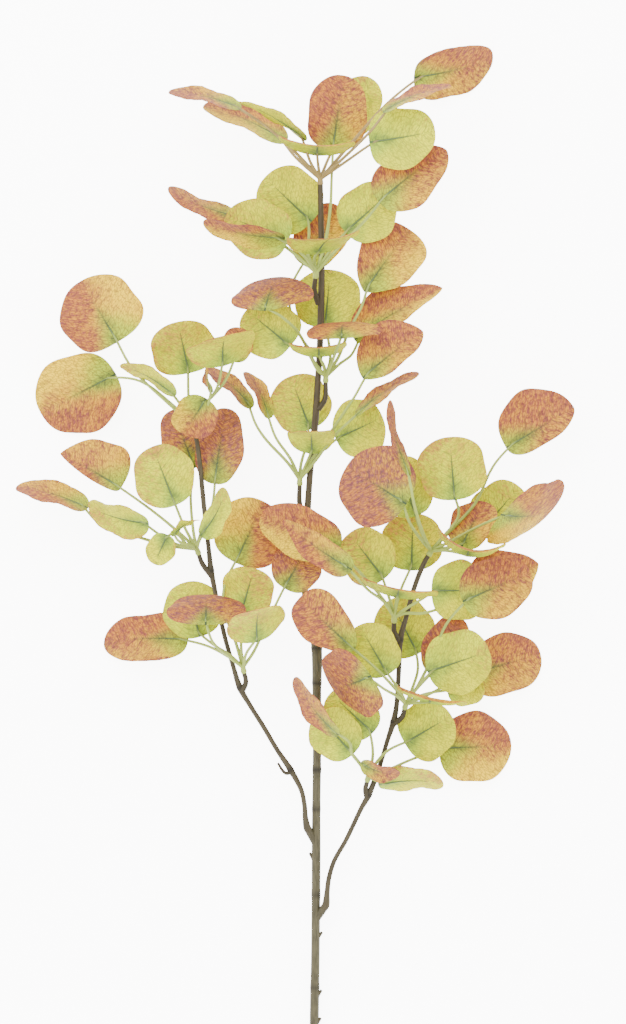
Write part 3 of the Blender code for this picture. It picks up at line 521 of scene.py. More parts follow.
class Surface:
    """The bent surface of one leaf blade."""

    def __init__(self, leaf: Leaf) -> None:
        """Work out the blade's own axes once.

        Args:
            leaf: The leaf, in its final place.
        """
        self.leaf = leaf
        base, tip = Vector(leaf.base), Vector(leaf.tip)
        self.base = base
        self.length = (tip - base).length
        self.along = (tip - base).normalized()
        if leaf.heading is None:
            flat = Vector((0, 0, 1)).cross(self.along).normalized()
            self.breadth = Matrix.Rotation(math.radians(leaf.roll), 3, self.along) @ flat
        else:
            heading = math.radians(leaf.heading)
            flat = Vector((math.cos(heading), math.sin(heading), 0))
            self.breadth = (flat - self.along * flat.dot(self.along)).normalized()
            if self.along.cross(self.breadth).z < 0:
                self.breadth = -self.breadth
        self.normal = self.along.cross(self.breadth)
        if leaf.side is Side.UNDER:
            self.normal = -self.normal

    def half_width(self, run: float, reach: float) -> float:
        """Return the distance from the midrib to one edge.

        Args:
            run: Fraction of the length, 0 at the base and 1 at the tip.
            reach: Which edge: the left one above zero, the right one below it.

        Returns:
            The distance, in millimetres.
        """
        first, last = self.leaf.base_form, self.leaf.tip_form
        widest = first / (first + last)
        peak = widest ** first * (1 - widest) ** last
        form = max(0.0, run) ** first * max(0.0, 1 - run) ** last / peak
        side = 1 if reach > 0 else -1
        wave = math.sin(2 * math.pi * OUTLINE_WAVES * run + 2 * self.leaf.phase + side)
        form *= 1 + OUTLINE_WAVE_SHARE * wave
        return 0.5 * self.leaf.width * form * (1 + self.leaf.skew * side)

    def offset(self, run: float, reach: float) -> float:
        """Return the signed distance from the midrib, in mm."""
        return reach * self.half_width(run, reach)

    def plain_rise(self, run: float, reach: float) -> float:
        """Return the height of the plain bent blade above its own flat plane.

        Args:
            run: Fraction of the length, 0 at the base and 1 at the tip.
            reach: Fraction of the half width, -1 to 1 across the blade.

        Returns:
            The height, in millimetres.
        """
        bend = math.radians(self.leaf.cup) / (0.5 * self.leaf.width)
        spread = self.offset(run, reach)
        rise = (1 - math.cos(bend * spread)) / bend + 4 * self.leaf.bow * run * (1 - run)
        wave = math.sin(2 * math.pi * EDGE_WAVES * run + self.leaf.phase + 1.4 * reach)
        return rise + EDGE_WAVE_HEIGHT * wave * reach * reach * math.sin(math.pi * run)

    def fine_rise(self, run: float, reach: float) -> float:
        """Return the small relief: ripples at the edge, swells between veins, midrib groove.

        Args:
            run: Fraction of the length, 0 at the base and 1 at the tip.
            reach: Fraction of the half width, -1 to 1 across the blade.

        Returns:
            The height that it adds, in millimetres.
        """
        spread = abs(self.offset(run, reach))
        row = self.length * run - VEIN_SLOPE * spread
        swell = VEIN_RELIEF * math.cos(2 * math.pi * row / VEIN_SPACING)
        swell *= math.sin(math.pi * min(1.0, abs(reach))) * math.sin(math.pi * run)
        ripple = math.sin(2 * math.pi * RIPPLES * run + 5 * self.leaf.phase + 2 * reach)
        ripple *= RIPPLE_HEIGHT * reach ** 4 * math.sin(math.pi * run)
        groove = MIDRIB_GROOVE * math.exp(-(spread / MIDRIB_GROOVE_WIDTH) ** 2) * (1 - run)
        return swell + ripple - groove

    def point(self, run: float, reach: float, fine: bool = True) -> Vector:
        """Return a point of the blade's middle surface, in drawing millimetres.

        Args:
            run: Fraction of the length, 0 at the base and 1 at the tip.
            reach: Fraction of the half width, -1 to 1 across the blade.
            fine: Whether the small relief is included.

        Returns:
            The point.
        """
        bend = math.radians(self.leaf.cup) / (0.5 * self.leaf.width)
        sideways = math.sin(bend * self.offset(run, reach)) / bend
        rise = self.plain_rise(run, reach)
        if fine:
            rise += self.fine_rise(run, reach)
        spot = self.base + self.along * (self.length * run)
        return spot + self.breadth * sideways + self.normal * rise


def settled(leaf: Leaf) -> Leaf:
    """Return a leaf that rests on the surface, lowered until it touches it.

    Args:
        leaf: Any leaf; one that doesn't rest is returned as it is.

    Returns:
        The leaf in its final place.
    """
    if not leaf.rests:
        return leaf
    surface = Surface(leaf)
    places = [(step / 24, reach) for step in range(25) for reach in (-1, -0.5, 0, 0.5, 1)]
    lowest = min(surface.point(run, reach, False).z for run, reach in places)
    drop = lowest - REST_HEIGHT
    base = (leaf.base[0], leaf.base[1], leaf.base[2] - drop)
    tip = (leaf.tip[0], leaf.tip[1], leaf.tip[2] - drop)
    return replace(leaf, base=base, tip=tip)


def smooth_path(points: Sequence[Sequence[float]], steps: int) -> list[Vector]:
    """Return points of a smooth curve through the given ones.

    Args:
        points: Places with a radius, as (x, y, z, radius).
        steps: New points for each stretch between two given ones.

    Returns:
        The points of the curve, each with its radius as a fourth value.
    """
    knots = [Vector(point) for point in points]
    knots = [2 * knots[0] - knots[1], *knots, 2 * knots[-1] - knots[-2]]
    path = []
    for index in range(1, len(knots) - 2):
        before, start, end, after = knots[index - 1:index + 3]
        reach = (end - start).length
        lead_in = (end - before) / max(1e-6, (end - before).length) * reach
        lead_out = (after - start) / max(1e-6, (after - start).length) * reach
        for step in range(steps):
            t = step / steps
            path.append(
                start * (2 * t ** 3 - 3 * t ** 2 + 1) + lead_in * (t ** 3 - 2 * t ** 2 + t)
                + end * (3 * t ** 2 - 2 * t ** 3) + lead_out * (t ** 3 - t ** 2))
    path.append(knots[-2])
    return path


def sweep(shape: bmesh.types.BMesh, path: Sequence[Vector], sides: int) -> list[bmesh.types.BMVert]:
    """Add a closed round bar along a path.

    Args:
        shape: Mesh that the bar is added to.
        path: Points in drawing millimetres, each with its radius as a fourth value.
        sides: Number of sides of the bar.

    Returns:
        The bar's vertices.
    """
    rows = len(path) - 1
    grid = bmesh.ops.create_grid(shape, x_segments=sides, y_segments=rows, size=1)
    verts = grid["verts"]
    rings = ring_axes(path)
    for vert in verts:
        row = round((vert.co.y + 1) / 2 * rows)
        angle = math.pi * (vert.co.x + 1)
        centre, across, up = rings[row]
        around = across * math.cos(angle) + up * math.sin(angle)
        vert.co = placed(centre + around * path[row][3])
    bmesh.ops.remove_doubles(shape, verts=verts, dist=RING_MERGE * MM)
    verts = [vert for vert in verts if vert.is_valid]
    rim = [edge for edge in {edge for vert in verts for edge in vert.link_edges} if edge.is_boundary]
    caps = bmesh.ops.holes_fill(shape, edges=rim, sides=0)["faces"]
    faces = list({face for vert in verts for face in vert.link_faces})
    for face in faces:
        face.smooth = True
    for cap in caps:
        for edge in cap.edges:
            edge.smooth = False
    bmesh.ops.recalc_face_normals(shape, faces=faces)
    return verts


def ring_axes(path: Sequence[Vector]) -> list[tuple[Vector, Vector, Vector]]:
    """Return the centre and two cross axes of each ring, turned as little as possible.

    Args:
        path: Points with a radius as a fourth value.

    Returns:
        For each point, its place and the two axes.
    """
    centres = [point.to_3d() for point in path]
    across = Vector((0.3, 0.2, 1))
    rings = []
    for index, centre in enumerate(centres):
        before, after = centres[max(0, index - 1)], centres[min(len(centres) - 1, index + 1)]
        tangent = (after - before).normalized()
        across = (across - tangent * across.dot(tangent)).normalized()
        rings.append((centre, across, tangent.cross(across)))
    return rings


def add_node(tree: bpy.types.NodeTree, kind: str, inputs: dict[Any, Any] | Sequence[Any] = (),
             **settings: Any) -> bpy.types.Node:
    """Add a shader node.

    Args:
        tree: Node tree that it goes into.
        kind: Type of the node, such as "ShaderNodeMath".
        inputs: What goes into each input, in their order or by name or number: a value, the
            output that feeds it, or a node that feeds it from its first output.
        **settings: Properties of the node.

    Returns:
        The new node.
    """
    node = tree.nodes.new(kind)
    for name, value in settings.items():
        setattr(node, name, value)
    for key, value in inputs.items() if isinstance(inputs, dict) else enumerate(inputs):
        if isinstance(value, bpy.types.Node):
            value = value.outputs[0]
        if isinstance(value, bpy.types.NodeSocket):
            tree.links.new(value, node.inputs[key])
        else:
            node.inputs[key].default_value = value
    return node


def layered(add: Adder, ground: Any, layers: Iterable[tuple[Any, Any]]) -> Any:
    """Return a ground colour with others laid over it, each by its own share.

    Args:
        add: Function that adds a node to the material.
        ground: The colour underneath.
        layers: Each colour over it, with its share.

    Returns:
        The colour seen.
    """
    colour = ground
    for over, share in layers:
        mixed = add("ShaderNodeMix", {0: share, 6: colour, 7: over}, data_type="RGBA")
        colour = mixed.outputs[2]
    return colour


def weighed(add: Adder, total: Any, parts: Iterable[tuple[Any, float]]) -> Any:
    """Return a value with others added to it, each times its weight.

    Args:
        add: Function that adds a node to the material.
        total: The first value.
        parts: Each value to add, with its weight.

    Returns:
        The sum.
    """
    for value, weight in parts:
        total = add("ShaderNodeMath", (value, weight, total), operation="MULTIPLY_ADD")
    return total


@dataclass(frozen=True)
class Finish:
    """A material, built node by node."""

    name: str

    def start(self) -> tuple[bpy.types.Material, Adder]:
        """Return a new empty material and the function that adds a node to it."""
        material = bpy.data.materials.new(self.name)
        material.use_nodes = True
        material.node_tree.nodes.clear()
        return material, partial(add_node, material.node_tree)


@dataclass(frozen=True)
class LeafPrint(Finish):
    """One side of a cloth leaf: matt colours printed in streaks, with light coming through.

    cover sets how much of the side the warm print takes: about 0 for blushed edges only and 1
    for nearly all of it.
    """

    ground: str
    shade: str
    gold: str
    warm: str
    red: str
    mauve: str
    base: str
    net: str
    vein: str
    cover: float

    def build(self) -> bpy.types.Material:
        """Return the material of this side of the leaves."""
        return PrintedSide(self).build()


class PrintedSide:
    """The pattern of one side of a leaf, drawn from what each point of its blade carries."""

    def __init__(self, ink: LeafPrint) -> None:
        """Read the blade's own values, then lay out the mottling and the yellow part.

        Args:
            ink: The colours of this side.
        """
        self.ink = ink
        self.material, add = ink.start()
        self.add = add
        layers = [add("ShaderNodeAttribute", attribute_name=name) for name in BLADE_LAYERS]
        self.place, rows, form, tint = (layer.outputs["Vector"] for layer in layers)
        self.run, self.edge, self.spread = add("ShaderNodeSeparateXYZ", (form,)).outputs
        self.redness, goldness, lean = add("ShaderNodeSeparateXYZ", (tint,)).outputs
        self.wobble = add("ShaderNodeTexNoise", {"Vector": self.place, "Scale": WOBBLES_PER_MM})
        self.blotch = add("ShaderNodeTexNoise", {"Vector": self.place, "Scale": BLOTCHES_PER_MM})
        wander = (ROW_WANDER, 0, 0)
        self.rows = add("ShaderNodeVectorMath", (self.wobble, wander, rows),
                        operation="MULTIPLY_ADD")
        self.streak = self.mottling()
        lit = weighed(add, lean, ((self.wobble, 0.7), (self.streak, 0.9)))
        self.yellow = add("ShaderNodeMapRange", (lit, 0.1, 1.7, 0.0, goldness), **SOFT)

    def build(self) -> bpy.types.Material:
        """Return the material: the colours in order, on cloth that light partly passes through."""
        add, ink = self.add, self.ink
        shaded = add("ShaderNodeMapRange", (self.blotch, 0.35, 0.65), **SOFT)
        colour = layered(add, linear(ink.ground), [
            (linear(ink.shade), shaded),
            (linear(ink.gold), self.yellow),
            (self.warm_colour(), self.warmth()),
            (linear(ink.base), self.greenness()),
            (linear(ink.net), self.net_lines()),
            (linear(ink.net), self.specks()),
            (linear(ink.vein), self.side_veins()),
            (linear(ink.vein), self.midrib()),
        ])
        relief = add("ShaderNodeBump", {
            "Height": self.streak, "Strength": 0.25, "Distance": LEAF_BUMP * MM})
        solid = add("ShaderNodeBsdfPrincipled", {
            "Base Color": colour, "Roughness": LEAF_ROUGHNESS, "Specular IOR Level": LEAF_SPECULAR,
            "Normal": relief})
        through = add("ShaderNodeBsdfTranslucent", {"Color": colour})
        mixed = add("ShaderNodeMixShader", (LIGHT_THROUGH, solid, through))
        add("ShaderNodeOutputMaterial", {"Surface": mixed})
        return self.material

    def mottling(self) -> bpy.types.Node:
        """Return mottling: half of it drawn out along the side veins, half in small patches."""
        scale = (1 / STREAK_SIZE[0], 1 / STREAK_SIZE[1], STREAK_STEP)
        drawn_out = self.add("ShaderNodeVectorMath", (self.rows, scale), operation="MULTIPLY")
        lines = self.add("ShaderNodeTexNoise", {"Vector": drawn_out, "Scale": 1.0, "Detail": 4.0})
        patches = self.add("ShaderNodeTexNoise", {
            "Vector": self.place, "Scale": PATCHES_PER_MM, "Detail": 4.0})
        return self.add("ShaderNodeMix", {0: 0.5, 2: lines, 3: patches})

    def warm_colour(self) -> Any:
        """Return the warm print's own colour: red streaks on orange, mauve on the reddest leaves."""
        mauve = self.add("ShaderNodeMapRange", (self.redness, 0.8, 1.05, 0.0, 0.75), **SOFT)
        red = layered(self.add, linear(self.ink.red), [(linear(self.ink.mauve), mauve)])
        streaked = self.add("ShaderNodeMapRange", (self.streak, 0.36, 0.64), **SOFT)
        return layered(self.add, linear(self.ink.warm), [(red, streaked)])

    def warmth(self) -> bpy.types.Node:
        """Return how far the print turns warm: towards the tip and the margin, in streaks."""
        margin = self.add("ShaderNodeMath", (self.edge, 3.0), operation="POWER")
        outward = self.add("ShaderNodeMath", (self.run, margin), operation="MAXIMUM")
        parts = ((outward, 0.7), (self.streak, 2.9), (self.blotch, 0.9), (self.yellow, -0.8))
        amount = weighed(self.add, self.redness, parts)
        low = 2.75 - 0.75 * self.ink.cover
        return self.add("ShaderNodeMapRange", (amount, low, low + 1.1, 0.0, 0.95), **SOFT)

    def greenness(self) -> bpy.types.Node:
        """Return how far the print is green, which it is around the base of the leaf."""
        parts = ((self.spread, 0.025), (self.streak, 0.5), (self.yellow, -0.3))
        away = weighed(self.add, self.run, parts)
        return self.add("ShaderNodeMapRange", (away, 0.3, 0.85, 0.9, 0.0), **SOFT)

    def net_lines(self) -> bpy.types.Node:
        """Return the fine net between the side veins."""
        scale = (1 / NET_SIZE[0], 1 / NET_SIZE[1], NET_STEP)
        place = self.add("ShaderNodeVectorMath", (self.rows, scale), operation="MULTIPLY")
        cells = self.add("ShaderNodeTexVoronoi", {"Vector": place, "Scale": 1.0},
                         feature="DISTANCE_TO_EDGE")
        return self.add("ShaderNodeMapRange", (cells, 0.02, 0.16, 0.5, 0.0), **SOFT)

    def specks(self) -> bpy.types.Node:
        """Return small scattered dots."""
        dots = self.add("ShaderNodeTexVoronoi", {"Vector": self.place, "Scale": SPECKS_PER_MM})
        return self.add("ShaderNodeMapRange", (dots, 0.05, 0.12, 0.45, 0.0), **SOFT)

    def side_veins(self) -> bpy.types.Node:
        """Return the thin side veins, strongest near the midrib."""
        row = self.add("ShaderNodeSeparateXYZ", (self.rows,))
        wave = self.add("ShaderNodeMath", (row, 0.5 * VEIN_SPACING), operation="PINGPONG")
        inward = self.add("ShaderNodeMapRange", (self.edge, 0.05, 0.85, 0.55, 0.06), **SOFT)
        return self.add("ShaderNodeMapRange", (wave, 0.05, 0.45, inward, 0.0), **SOFT)

    def midrib(self) -> bpy.types.Node:
        """Return the dark midrib with its soft, patchy halo, fading towards the tip."""
        left = self.add("ShaderNodeMapRange", (self.run, 0.1, 0.85, 0.92, 0.0), **SOFT)
        core = self.add("ShaderNodeMapRange", (self.spread, 0.35, 1.4, left, 0.0), **SOFT)
        near = self.add("ShaderNodeMapRange", (self.run, 0.05, 0.7, 0.7, 0.0), **SOFT)
        patchy = self.add("ShaderNodeMapRange", (self.wobble, 0.3, 0.65, 0.0, near), **SOFT)
        halo = self.add("ShaderNodeMapRange", (self.spread, 0.5, 8.0, patchy, 0.0), **SOFT)
        return self.add("ShaderNodeMath", (core, halo), operation="MAXIMUM")


@dataclass(frozen=True)
class StemPlastic(Finish):
    """Moulded polyethylene: satin, with a long grain, and darker where the mesh is marked.

    Where far is given, the ground turns to it between two values of Y.
    """

    ground: str
    dark: str
    joint: str
    far: str | None = None
    far_span: tuple[float, float] = (330.0, 430.0)

    def build(self) -> bpy.types.Material:
        """Return the material of a stem or stalk."""
        material, add = self.start()
        place = add("ShaderNodeAttribute", attribute_name="stem_place").outputs["Vector"]
        joint = add("ShaderNodeSeparateXYZ", (place,)).outputs[2]
        scale = (STEM_GRAINS_PER_RADIAN, 1 / STEM_GRAIN_LENGTH, 0)
        drawn_out = add("ShaderNodeVectorMath", (place, scale), operation="MULTIPLY")
        grain = add("ShaderNodeTexNoise", {"Vector": drawn_out, "Scale": 1.0, "Detail": 3.0})
        spot = add("ShaderNodeTexCoord").outputs["Object"]
        patch = add("ShaderNodeTexNoise", {"Vector": spot, "Scale": STEM_PATCHES_PER_M})
        layers = [
            (linear(self.dark), add("ShaderNodeMapRange", (grain, 0.35, 0.75, 0.0, 0.8), **SOFT)),
            (linear(self.dark), add("ShaderNodeMapRange", (patch, 0.5, 0.7, 0.0, 0.4), **SOFT)),
            (linear(self.joint), joint),
        ]
        if self.far:
            height = add("ShaderNodeSeparateXYZ", (spot,)).outputs[1]
            start, end = ((value - ORIGIN.y) * MM for value in self.far_span)
            turned = add("ShaderNodeMapRange", (height, start, end), **SOFT)
            layers.insert(0, (linear(self.far), turned))
        colour = layered(add, linear(self.ground), layers)
        relief = add("ShaderNodeBump", {"Height": grain, "Strength": 0.4, "Distance": STEM_BUMP * MM})
        solid = add("ShaderNodeBsdfPrincipled", {
            "Base Color": colour, "Roughness": STEM_ROUGHNESS, "Specular IOR Level": STEM_SPECULAR,
            "Normal": relief})
        add("ShaderNodeOutputMaterial", {"Surface": solid})
        return material


@dataclass(frozen=True)
class LitCard(Finish):
    """A pale card that glows: by light on what lies on it, and by glow to the eye."""

    colour: str
    glow: float
    light: float

    def build(self) -> bpy.types.Material:
        """Return the material."""
        material, add = self.start()
        seen = add("ShaderNodeLightPath").outputs["Is Camera Ray"]
        strength = add("ShaderNodeMapRange", {
            "Value": seen, "To Min": self.light, "To Max": self.glow})
        solid = add("ShaderNodeBsdfPrincipled", {
            "Base Color": linear(self.colour), "Roughness": 0.9, "Specular IOR Level": 0.2,
            "Emission Color": linear(self.colour), "Emission Strength": strength})
        add("ShaderNodeOutputMaterial", {"Surface": solid})
        return material


def new_piece(name: str, shape: bmesh.types.BMesh,
              materials: Iterable[bpy.types.Material]) -> bpy.types.Object:
    """Turn a finished mesh into a linked object at the origin.

    Args:
        name: Name of the piece.
        shape: Its mesh, which is freed.
        materials: Its materials, in the order of the faces' material numbers.

    Returns:
        The object.
    """
    mesh = bpy.data.meshes.new(name)
    shape.to_mesh(mesh)
    shape.free()
    for material in materials:
        mesh.materials.append(material)
    piece = bpy.data.objects.new(name, mesh)
    bpy.context.scene.collection.objects.link(piece)
    return piece


@dataclass
class BladeSet:
    """The blades of one spray, in one piece with two printed sides."""

    spray: Spray
    materials: tuple[bpy.types.Material, bpy.types.Material]

    def build(self) -> bpy.types.Object:
        """Return the piece."""
        shape = bmesh.new()
        layers = [shape.verts.layers.float_vector.new(name) for name in BLADE_LAYERS]
        draw = random.Random(f"{SEED} {self.spray.name}")
        for leaf in self.spray.leaves:
            self.add_blade(shape, layers, settled(leaf), draw)
        return new_piece(self.spray.name + "_blades", shape, self.materials)

    def tint(self, leaf: Leaf, draw: random.Random) -> Vector:
        """Return the leaf's redness, its yellow share, and the side that is yellower.

        Args:
            leaf: The leaf.
            draw: Random draws of the spray.

        Returns:
            The three values.
        """
        tone = Tone.TERRACOTTA if leaf.side is Side.UPPER else Tone.GREEN
        for special, sprays in TONED_LEAVES.items():
            if leaf.name in sprays.get(self.spray.name, ""):
                tone = special
        redness, goldness = TONE_VALUES[tone]
        redness += draw.uniform(-REDNESS_SPREAD, REDNESS_SPREAD)
        goldness += draw.uniform(-GOLD_SPREAD, GOLD_SPREAD)
        lean = 1.0 if leaf.name in YELLOW_ON_LEFT.get(self.spray.name, "") else -1.0
        return Vector((redness, goldness, lean))

    def add_blade(self, shape: bmesh.types.BMesh, layers: Sequence[Any], leaf: Leaf,
                  draw: random.Random) -> None:
        """Add one closed blade: two printed sides joined by a rim.

        Args:
            shape: Mesh that it is added to.
            layers: What each point carries, in the order of BLADE_LAYERS.
            leaf: The leaf, in its final place.
            draw: Random draws of the spray.
        """
        surface = Surface(leaf)
        seed, tint = draw.random(), self.tint(leaf, draw)
        verts = bmesh.ops.create_grid(
            shape, x_segments=BLADE_COLUMNS, y_segments=BLADE_ROWS, size=1)["verts"]
        for vert in verts:
            run = 0.5 * (1 - math.cos(math.pi * (vert.co.y + 1) / 2))
            reach = math.copysign(abs(vert.co.x) ** COLUMN_BUNCHING, vert.co.x)
            across, along = surface.offset(run, reach), surface.length * run
            vert[layers[0]] = Vector((across, along, PLACE_STEP * seed))
            vert[layers[1]] = Vector((along - VEIN_SLOPE * abs(across), across, seed))
            vert[layers[2]] = Vector((run, abs(reach), abs(across)))
            vert[layers[3]] = Vector((tint.x, tint.y, reach * tint.z))
            vert.co = placed(surface.point(run, reach))
        bmesh.ops.remove_doubles(shape, verts=verts, dist=BLADE_MERGE * MM)
        verts = [vert for vert in verts if vert.is_valid]
        faces = list({face for vert in verts for face in vert.link_faces})
        if leaf.side is Side.UPPER:
            bmesh.ops.reverse_faces(shape, faces=faces)
        self.thicken(shape, verts, faces)

    def thicken(self, shape: bmesh.types.BMesh, verts: Sequence[bmesh.types.BMVert],
                faces: Sequence[bmesh.types.BMFace]) -> None:
        """Copy a side, move the two apart and close the rim between them.

        Args:
            shape: Mesh that the side is in.
            verts: Points of the side.
            faces: Faces of the side.
        """
        shape.normal_update()
        half = 0.5 * BLADE_THICKNESS * MM
        lifts = {vert: vert.normal * half for vert in verts}
        edges = {edge for face in faces for edge in face.edges}
        rim = [edge for edge in edges if edge.is_boundary]
        copy = bmesh.ops.duplicate(shape, geom=[*verts, *edges, *faces])
        under_faces = [item for item in copy["geom"] if isinstance(item, bmesh.types.BMFace)]
        under_edges = [item for item in copy["geom"] if isinstance(item, bmesh.types.BMEdge)]
        under_rim = [edge for edge in under_edges if edge.is_boundary]
        for vert, lift in lifts.items():
            copy["vert_map"][vert].co -= lift
            vert.co += lift
        bmesh.ops.reverse_faces(shape, faces=under_faces)
        bmesh.ops.bridge_loops(shape, edges=rim + under_rim)
        for face in under_faces:
            face.material_index = 1
        for face in [*faces, *under_faces]:
            face.smooth = True
        for edge in rim + under_rim:
            edge.smooth = False


@dataclass
class StalkSet:
    """The collar of one spray, its leaf stalks, and the midribs that they run into."""

    spray: Spray
    material: bpy.types.Material

    def build(self) -> bpy.types.Object:
        """Return the piece."""
        shape = bmesh.new()
        layer = shape.verts.layers.float_vector.new("stem_place")
        start, end = collar_ends(self.spray)
        fork = start.lerp(end, FORK_DEPTH / COLLAR_LENGTH)
        foot = start - (end - start).normalized() * SEAT_LAP
        collar = []
        for share, factor in COLLAR_PROFILE:
            collar.append(Vector((*foot.lerp(end, share), factor * COLLAR_RADIUS)))
        mark(sweep(shape, collar, BAR_SIDES), layer, collar, [0.0] * len(collar))
        for leaf in self.spray.leaves:
            path, shades = self.route(settled(leaf), fork)
            mark(sweep(shape, path, STALK_SIDES), layer, path, shades)
        return new_piece(self.spray.name + "_stalks", shape, (self.material,))

    def route(self, leaf: Leaf, fork: Vector) -> tuple[list[Vector], list[float]]:
        """Return the stalk's path from the collar to the blade and on under its midrib.

        Args:
            leaf: The leaf in its final place.
            fork: Where the stalks part, inside the collar.

        Returns:
            The path, and for each of its points how much of the midrib's colour it takes.
        """
        surface = Surface(leaf)
        knots = [fork, *map(Vector, leaf.stalk), surface.point(STALK_SINK, 0)]
        last = len(knots) - 1
        points = []
        for index, knot in enumerate(knots):
            share = index / last
            radius = STALK_RADIUS_AT_FORK + share * (STALK_RADIUS_AT_LEAF - STALK_RADIUS_AT_FORK)
            points.append((*knot, radius))
        for run, radius in MIDRIB_PROFILE:
            drop = 0.5 * BLADE_THICKNESS + MIDRIB_DROP * radius
            points.append((*(surface.point(run, 0) - surface.normal * drop), radius))
        path = smooth_path(points, STALK_STEPS)
        shades = []
        for index in range(len(path)):
            past_blade_base = index / STALK_STEPS - last
            shades.append(min(1.0, max(0.0, past_blade_base + MIDRIB_SHADE_LEAD)))
        return path, shades


def mark(verts: Sequence[bmesh.types.BMVert], layer: Any, path: Sequence[Vector],
         shades: Sequence[float]) -> None:
    """Store where each vertex of a bar is: around it, along it, and its share of the second colour.

    Args:
        verts: Vertices of the bar.
        layer: Vector layer that the values go into.
        path: The bar's path, in drawing millimetres.
        shades: For each point of the path, how much of the second colour shows.
    """
    lengths = [0.0]
    for before, after in zip(path, path[1:]):
        lengths.append(lengths[-1] + (after.to_3d() - before.to_3d()).length)
    places = [placed(point) for point in path]
    for vert in verts:
        gaps = [(place - vert.co).length_squared for place in places]
        nearest = gaps.index(min(gaps))
        away = vert.co - places[nearest]
        vert[layer] = Vector((math.atan2(away.z, away.x), lengths[nearest], shades[nearest]))


def collar_ends(spray: Spray) -> tuple[Vector, Vector]:
    """Return where a spray's collar starts, just clear of its peg, and where it ends.

    Args:
        spray: The spray.

    Returns:
        The two points, in drawing millimetres.
    """
    before, end = Vector(spray.peg[-2]), Vector(spray.peg[-1])
    direction = (end - before).normalized()
    start = end + direction * SEAT_GAP
    return start, start + direction * COLLAR_LENGTH


def plugged(socket: Sequence[Sequence[float]], centreline: Sequence[Sequence[float]]
            ) -> tuple[tuple[float, ...], ...]:
    """Return a side branch's centreline, started just clear of the socket that holds it.

    Args:
        socket: Points of the socket, as (x, y, z, radius).
        centreline: Points of the branch past its straight foot.

    Returns:
        All points of the branch.
    """
    before, end = Vector(socket[-2][:3]), Vector(socket[-1][:3])
    direction = (end - before).normalized()
    start = end + direction * SEAT_GAP
    straight = start + direction * SOCKET_STRAIGHT
    radius = socket[-1][3]
    return ((*start, radius), (*straight, radius), *centreline)


@dataclass
class Stem:
    """A stem with its swollen joints, sockets and pegs."""

    node: str
    centreline: Sequence[Sequence[float]]
    joints: Sequence[float]
    sockets: Sequence[Sequence[Sequence[float]]]
    buds: Sequence[Sequence[Sequence[float]]]
    sprays: Sequence[Spray]
    material: bpy.types.Material

    def build(self) -> bpy.types.Object:
        """Return the piece."""
        shape = bmesh.new()
        layer = shape.verts.layers.float_vector.new("stem_place")
        path = smooth_path(self.lapped(), STEM_STEPS)
        shades = []
        for point in path:
            nearest = min(abs(point[1] - middle) for middle in self.joints)
            shades.append(math.exp(-(nearest / JOINT_LENGTH) ** 2))
            point[3] += JOINT_SWELL * shades[-1]
        mark(sweep(shape, path, STEM_SIDES), layer, path, shades)
        for bar in (*self.sockets, *self.buds):
            self.add_bar(shape, layer, bar, STEM_SIDES)
        for spray in self.sprays:
            if spray not in TIP_SPRAYS:
                self.add_bar(shape, layer, self.peg(spray), BAR_SIDES)
        return new_piece(self.node + "_surface", shape, (self.material,))

    def lapped(self) -> list[Sequence[float]]:
        """Return the centreline, with a side branch's foot drawn down into its socket."""
        first, second = Vector(self.centreline[0][:3]), Vector(self.centreline[1][:3])
        if self.sockets:
            return list(self.centreline)
        foot = first - (second - first).normalized() * SEAT_LAP
        return [(*foot, FOOT_TAPER * self.centreline[0][3]), *self.centreline]

    def add_bar(self, shape: bmesh.types.BMesh, layer: Any, points: Sequence[Sequence[float]],
                sides: int) -> None:
        """Add a socket, bud or peg to the stem."""
        path = smooth_path(points, BAR_STEPS)
        mark(sweep(shape, path, sides), layer, path, [BAR_SHADE] * len(path))

    def peg(self, spray: Spray) -> list[tuple[float, ...]]:
        """Return the points of the peg that a spray's collar sits on.

        Args:
            spray: The spray.

        Returns:
            Its points, as (x, y, z, radius).
        """
        last = len(spray.peg) - 1
        slim = PEG_TIP_RADIUS - PEG_ROOT_RADIUS
        return [(*place, PEG_ROOT_RADIUS + index / last * slim) for index, place in enumerate(spray.peg)]


def dress(piece: bpy.types.Object, node: str, slot: str) -> None:
    """Let a piece stand in for a part of the branch and log it.

    Args:
        piece: The finished piece.
        node: Name of the part that it stands in for.
        slot: Name of the part's material; not used.
    """
    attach(piece, "root")
    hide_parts(node)
    LOG.info("%s: %d faces", piece.name, len(piece.data.polygons))


def build_stems() -> None:
    """Build the main stem and the two side branches."""
    olive = StemPlastic("olive_brown_stem", "48432f", "2c291b", "201c12", far="3e3422").build()
    brown = StemPlastic("brown_stem", "3f3826", "292416", "1e1a10").build()
    stems = (
        (Stem("main_stem", MAIN_STEM, MAIN_STEM_JOINTS, (LEFT_SOCKET, RIGHT_SOCKET),
              MAIN_STEM_BUDS, MAIN_STEM_SPRAYS, olive), "main_stem"),
        (Stem("left_branch", plugged(LEFT_SOCKET, LEFT_BRANCH), LEFT_BRANCH_JOINTS, (),
              LEFT_BRANCH_BUDS, LEFT_BRANCH_SPRAYS, brown), "side_branches"),
        (Stem("right_branch", plugged(RIGHT_SOCKET, RIGHT_BRANCH), RIGHT_BRANCH_JOINTS, (),
              (), RIGHT_BRANCH_SPRAYS, brown), "side_branches"),
    )
    for stem, slot in stems:
        dress(stem.build(), stem.node, slot)


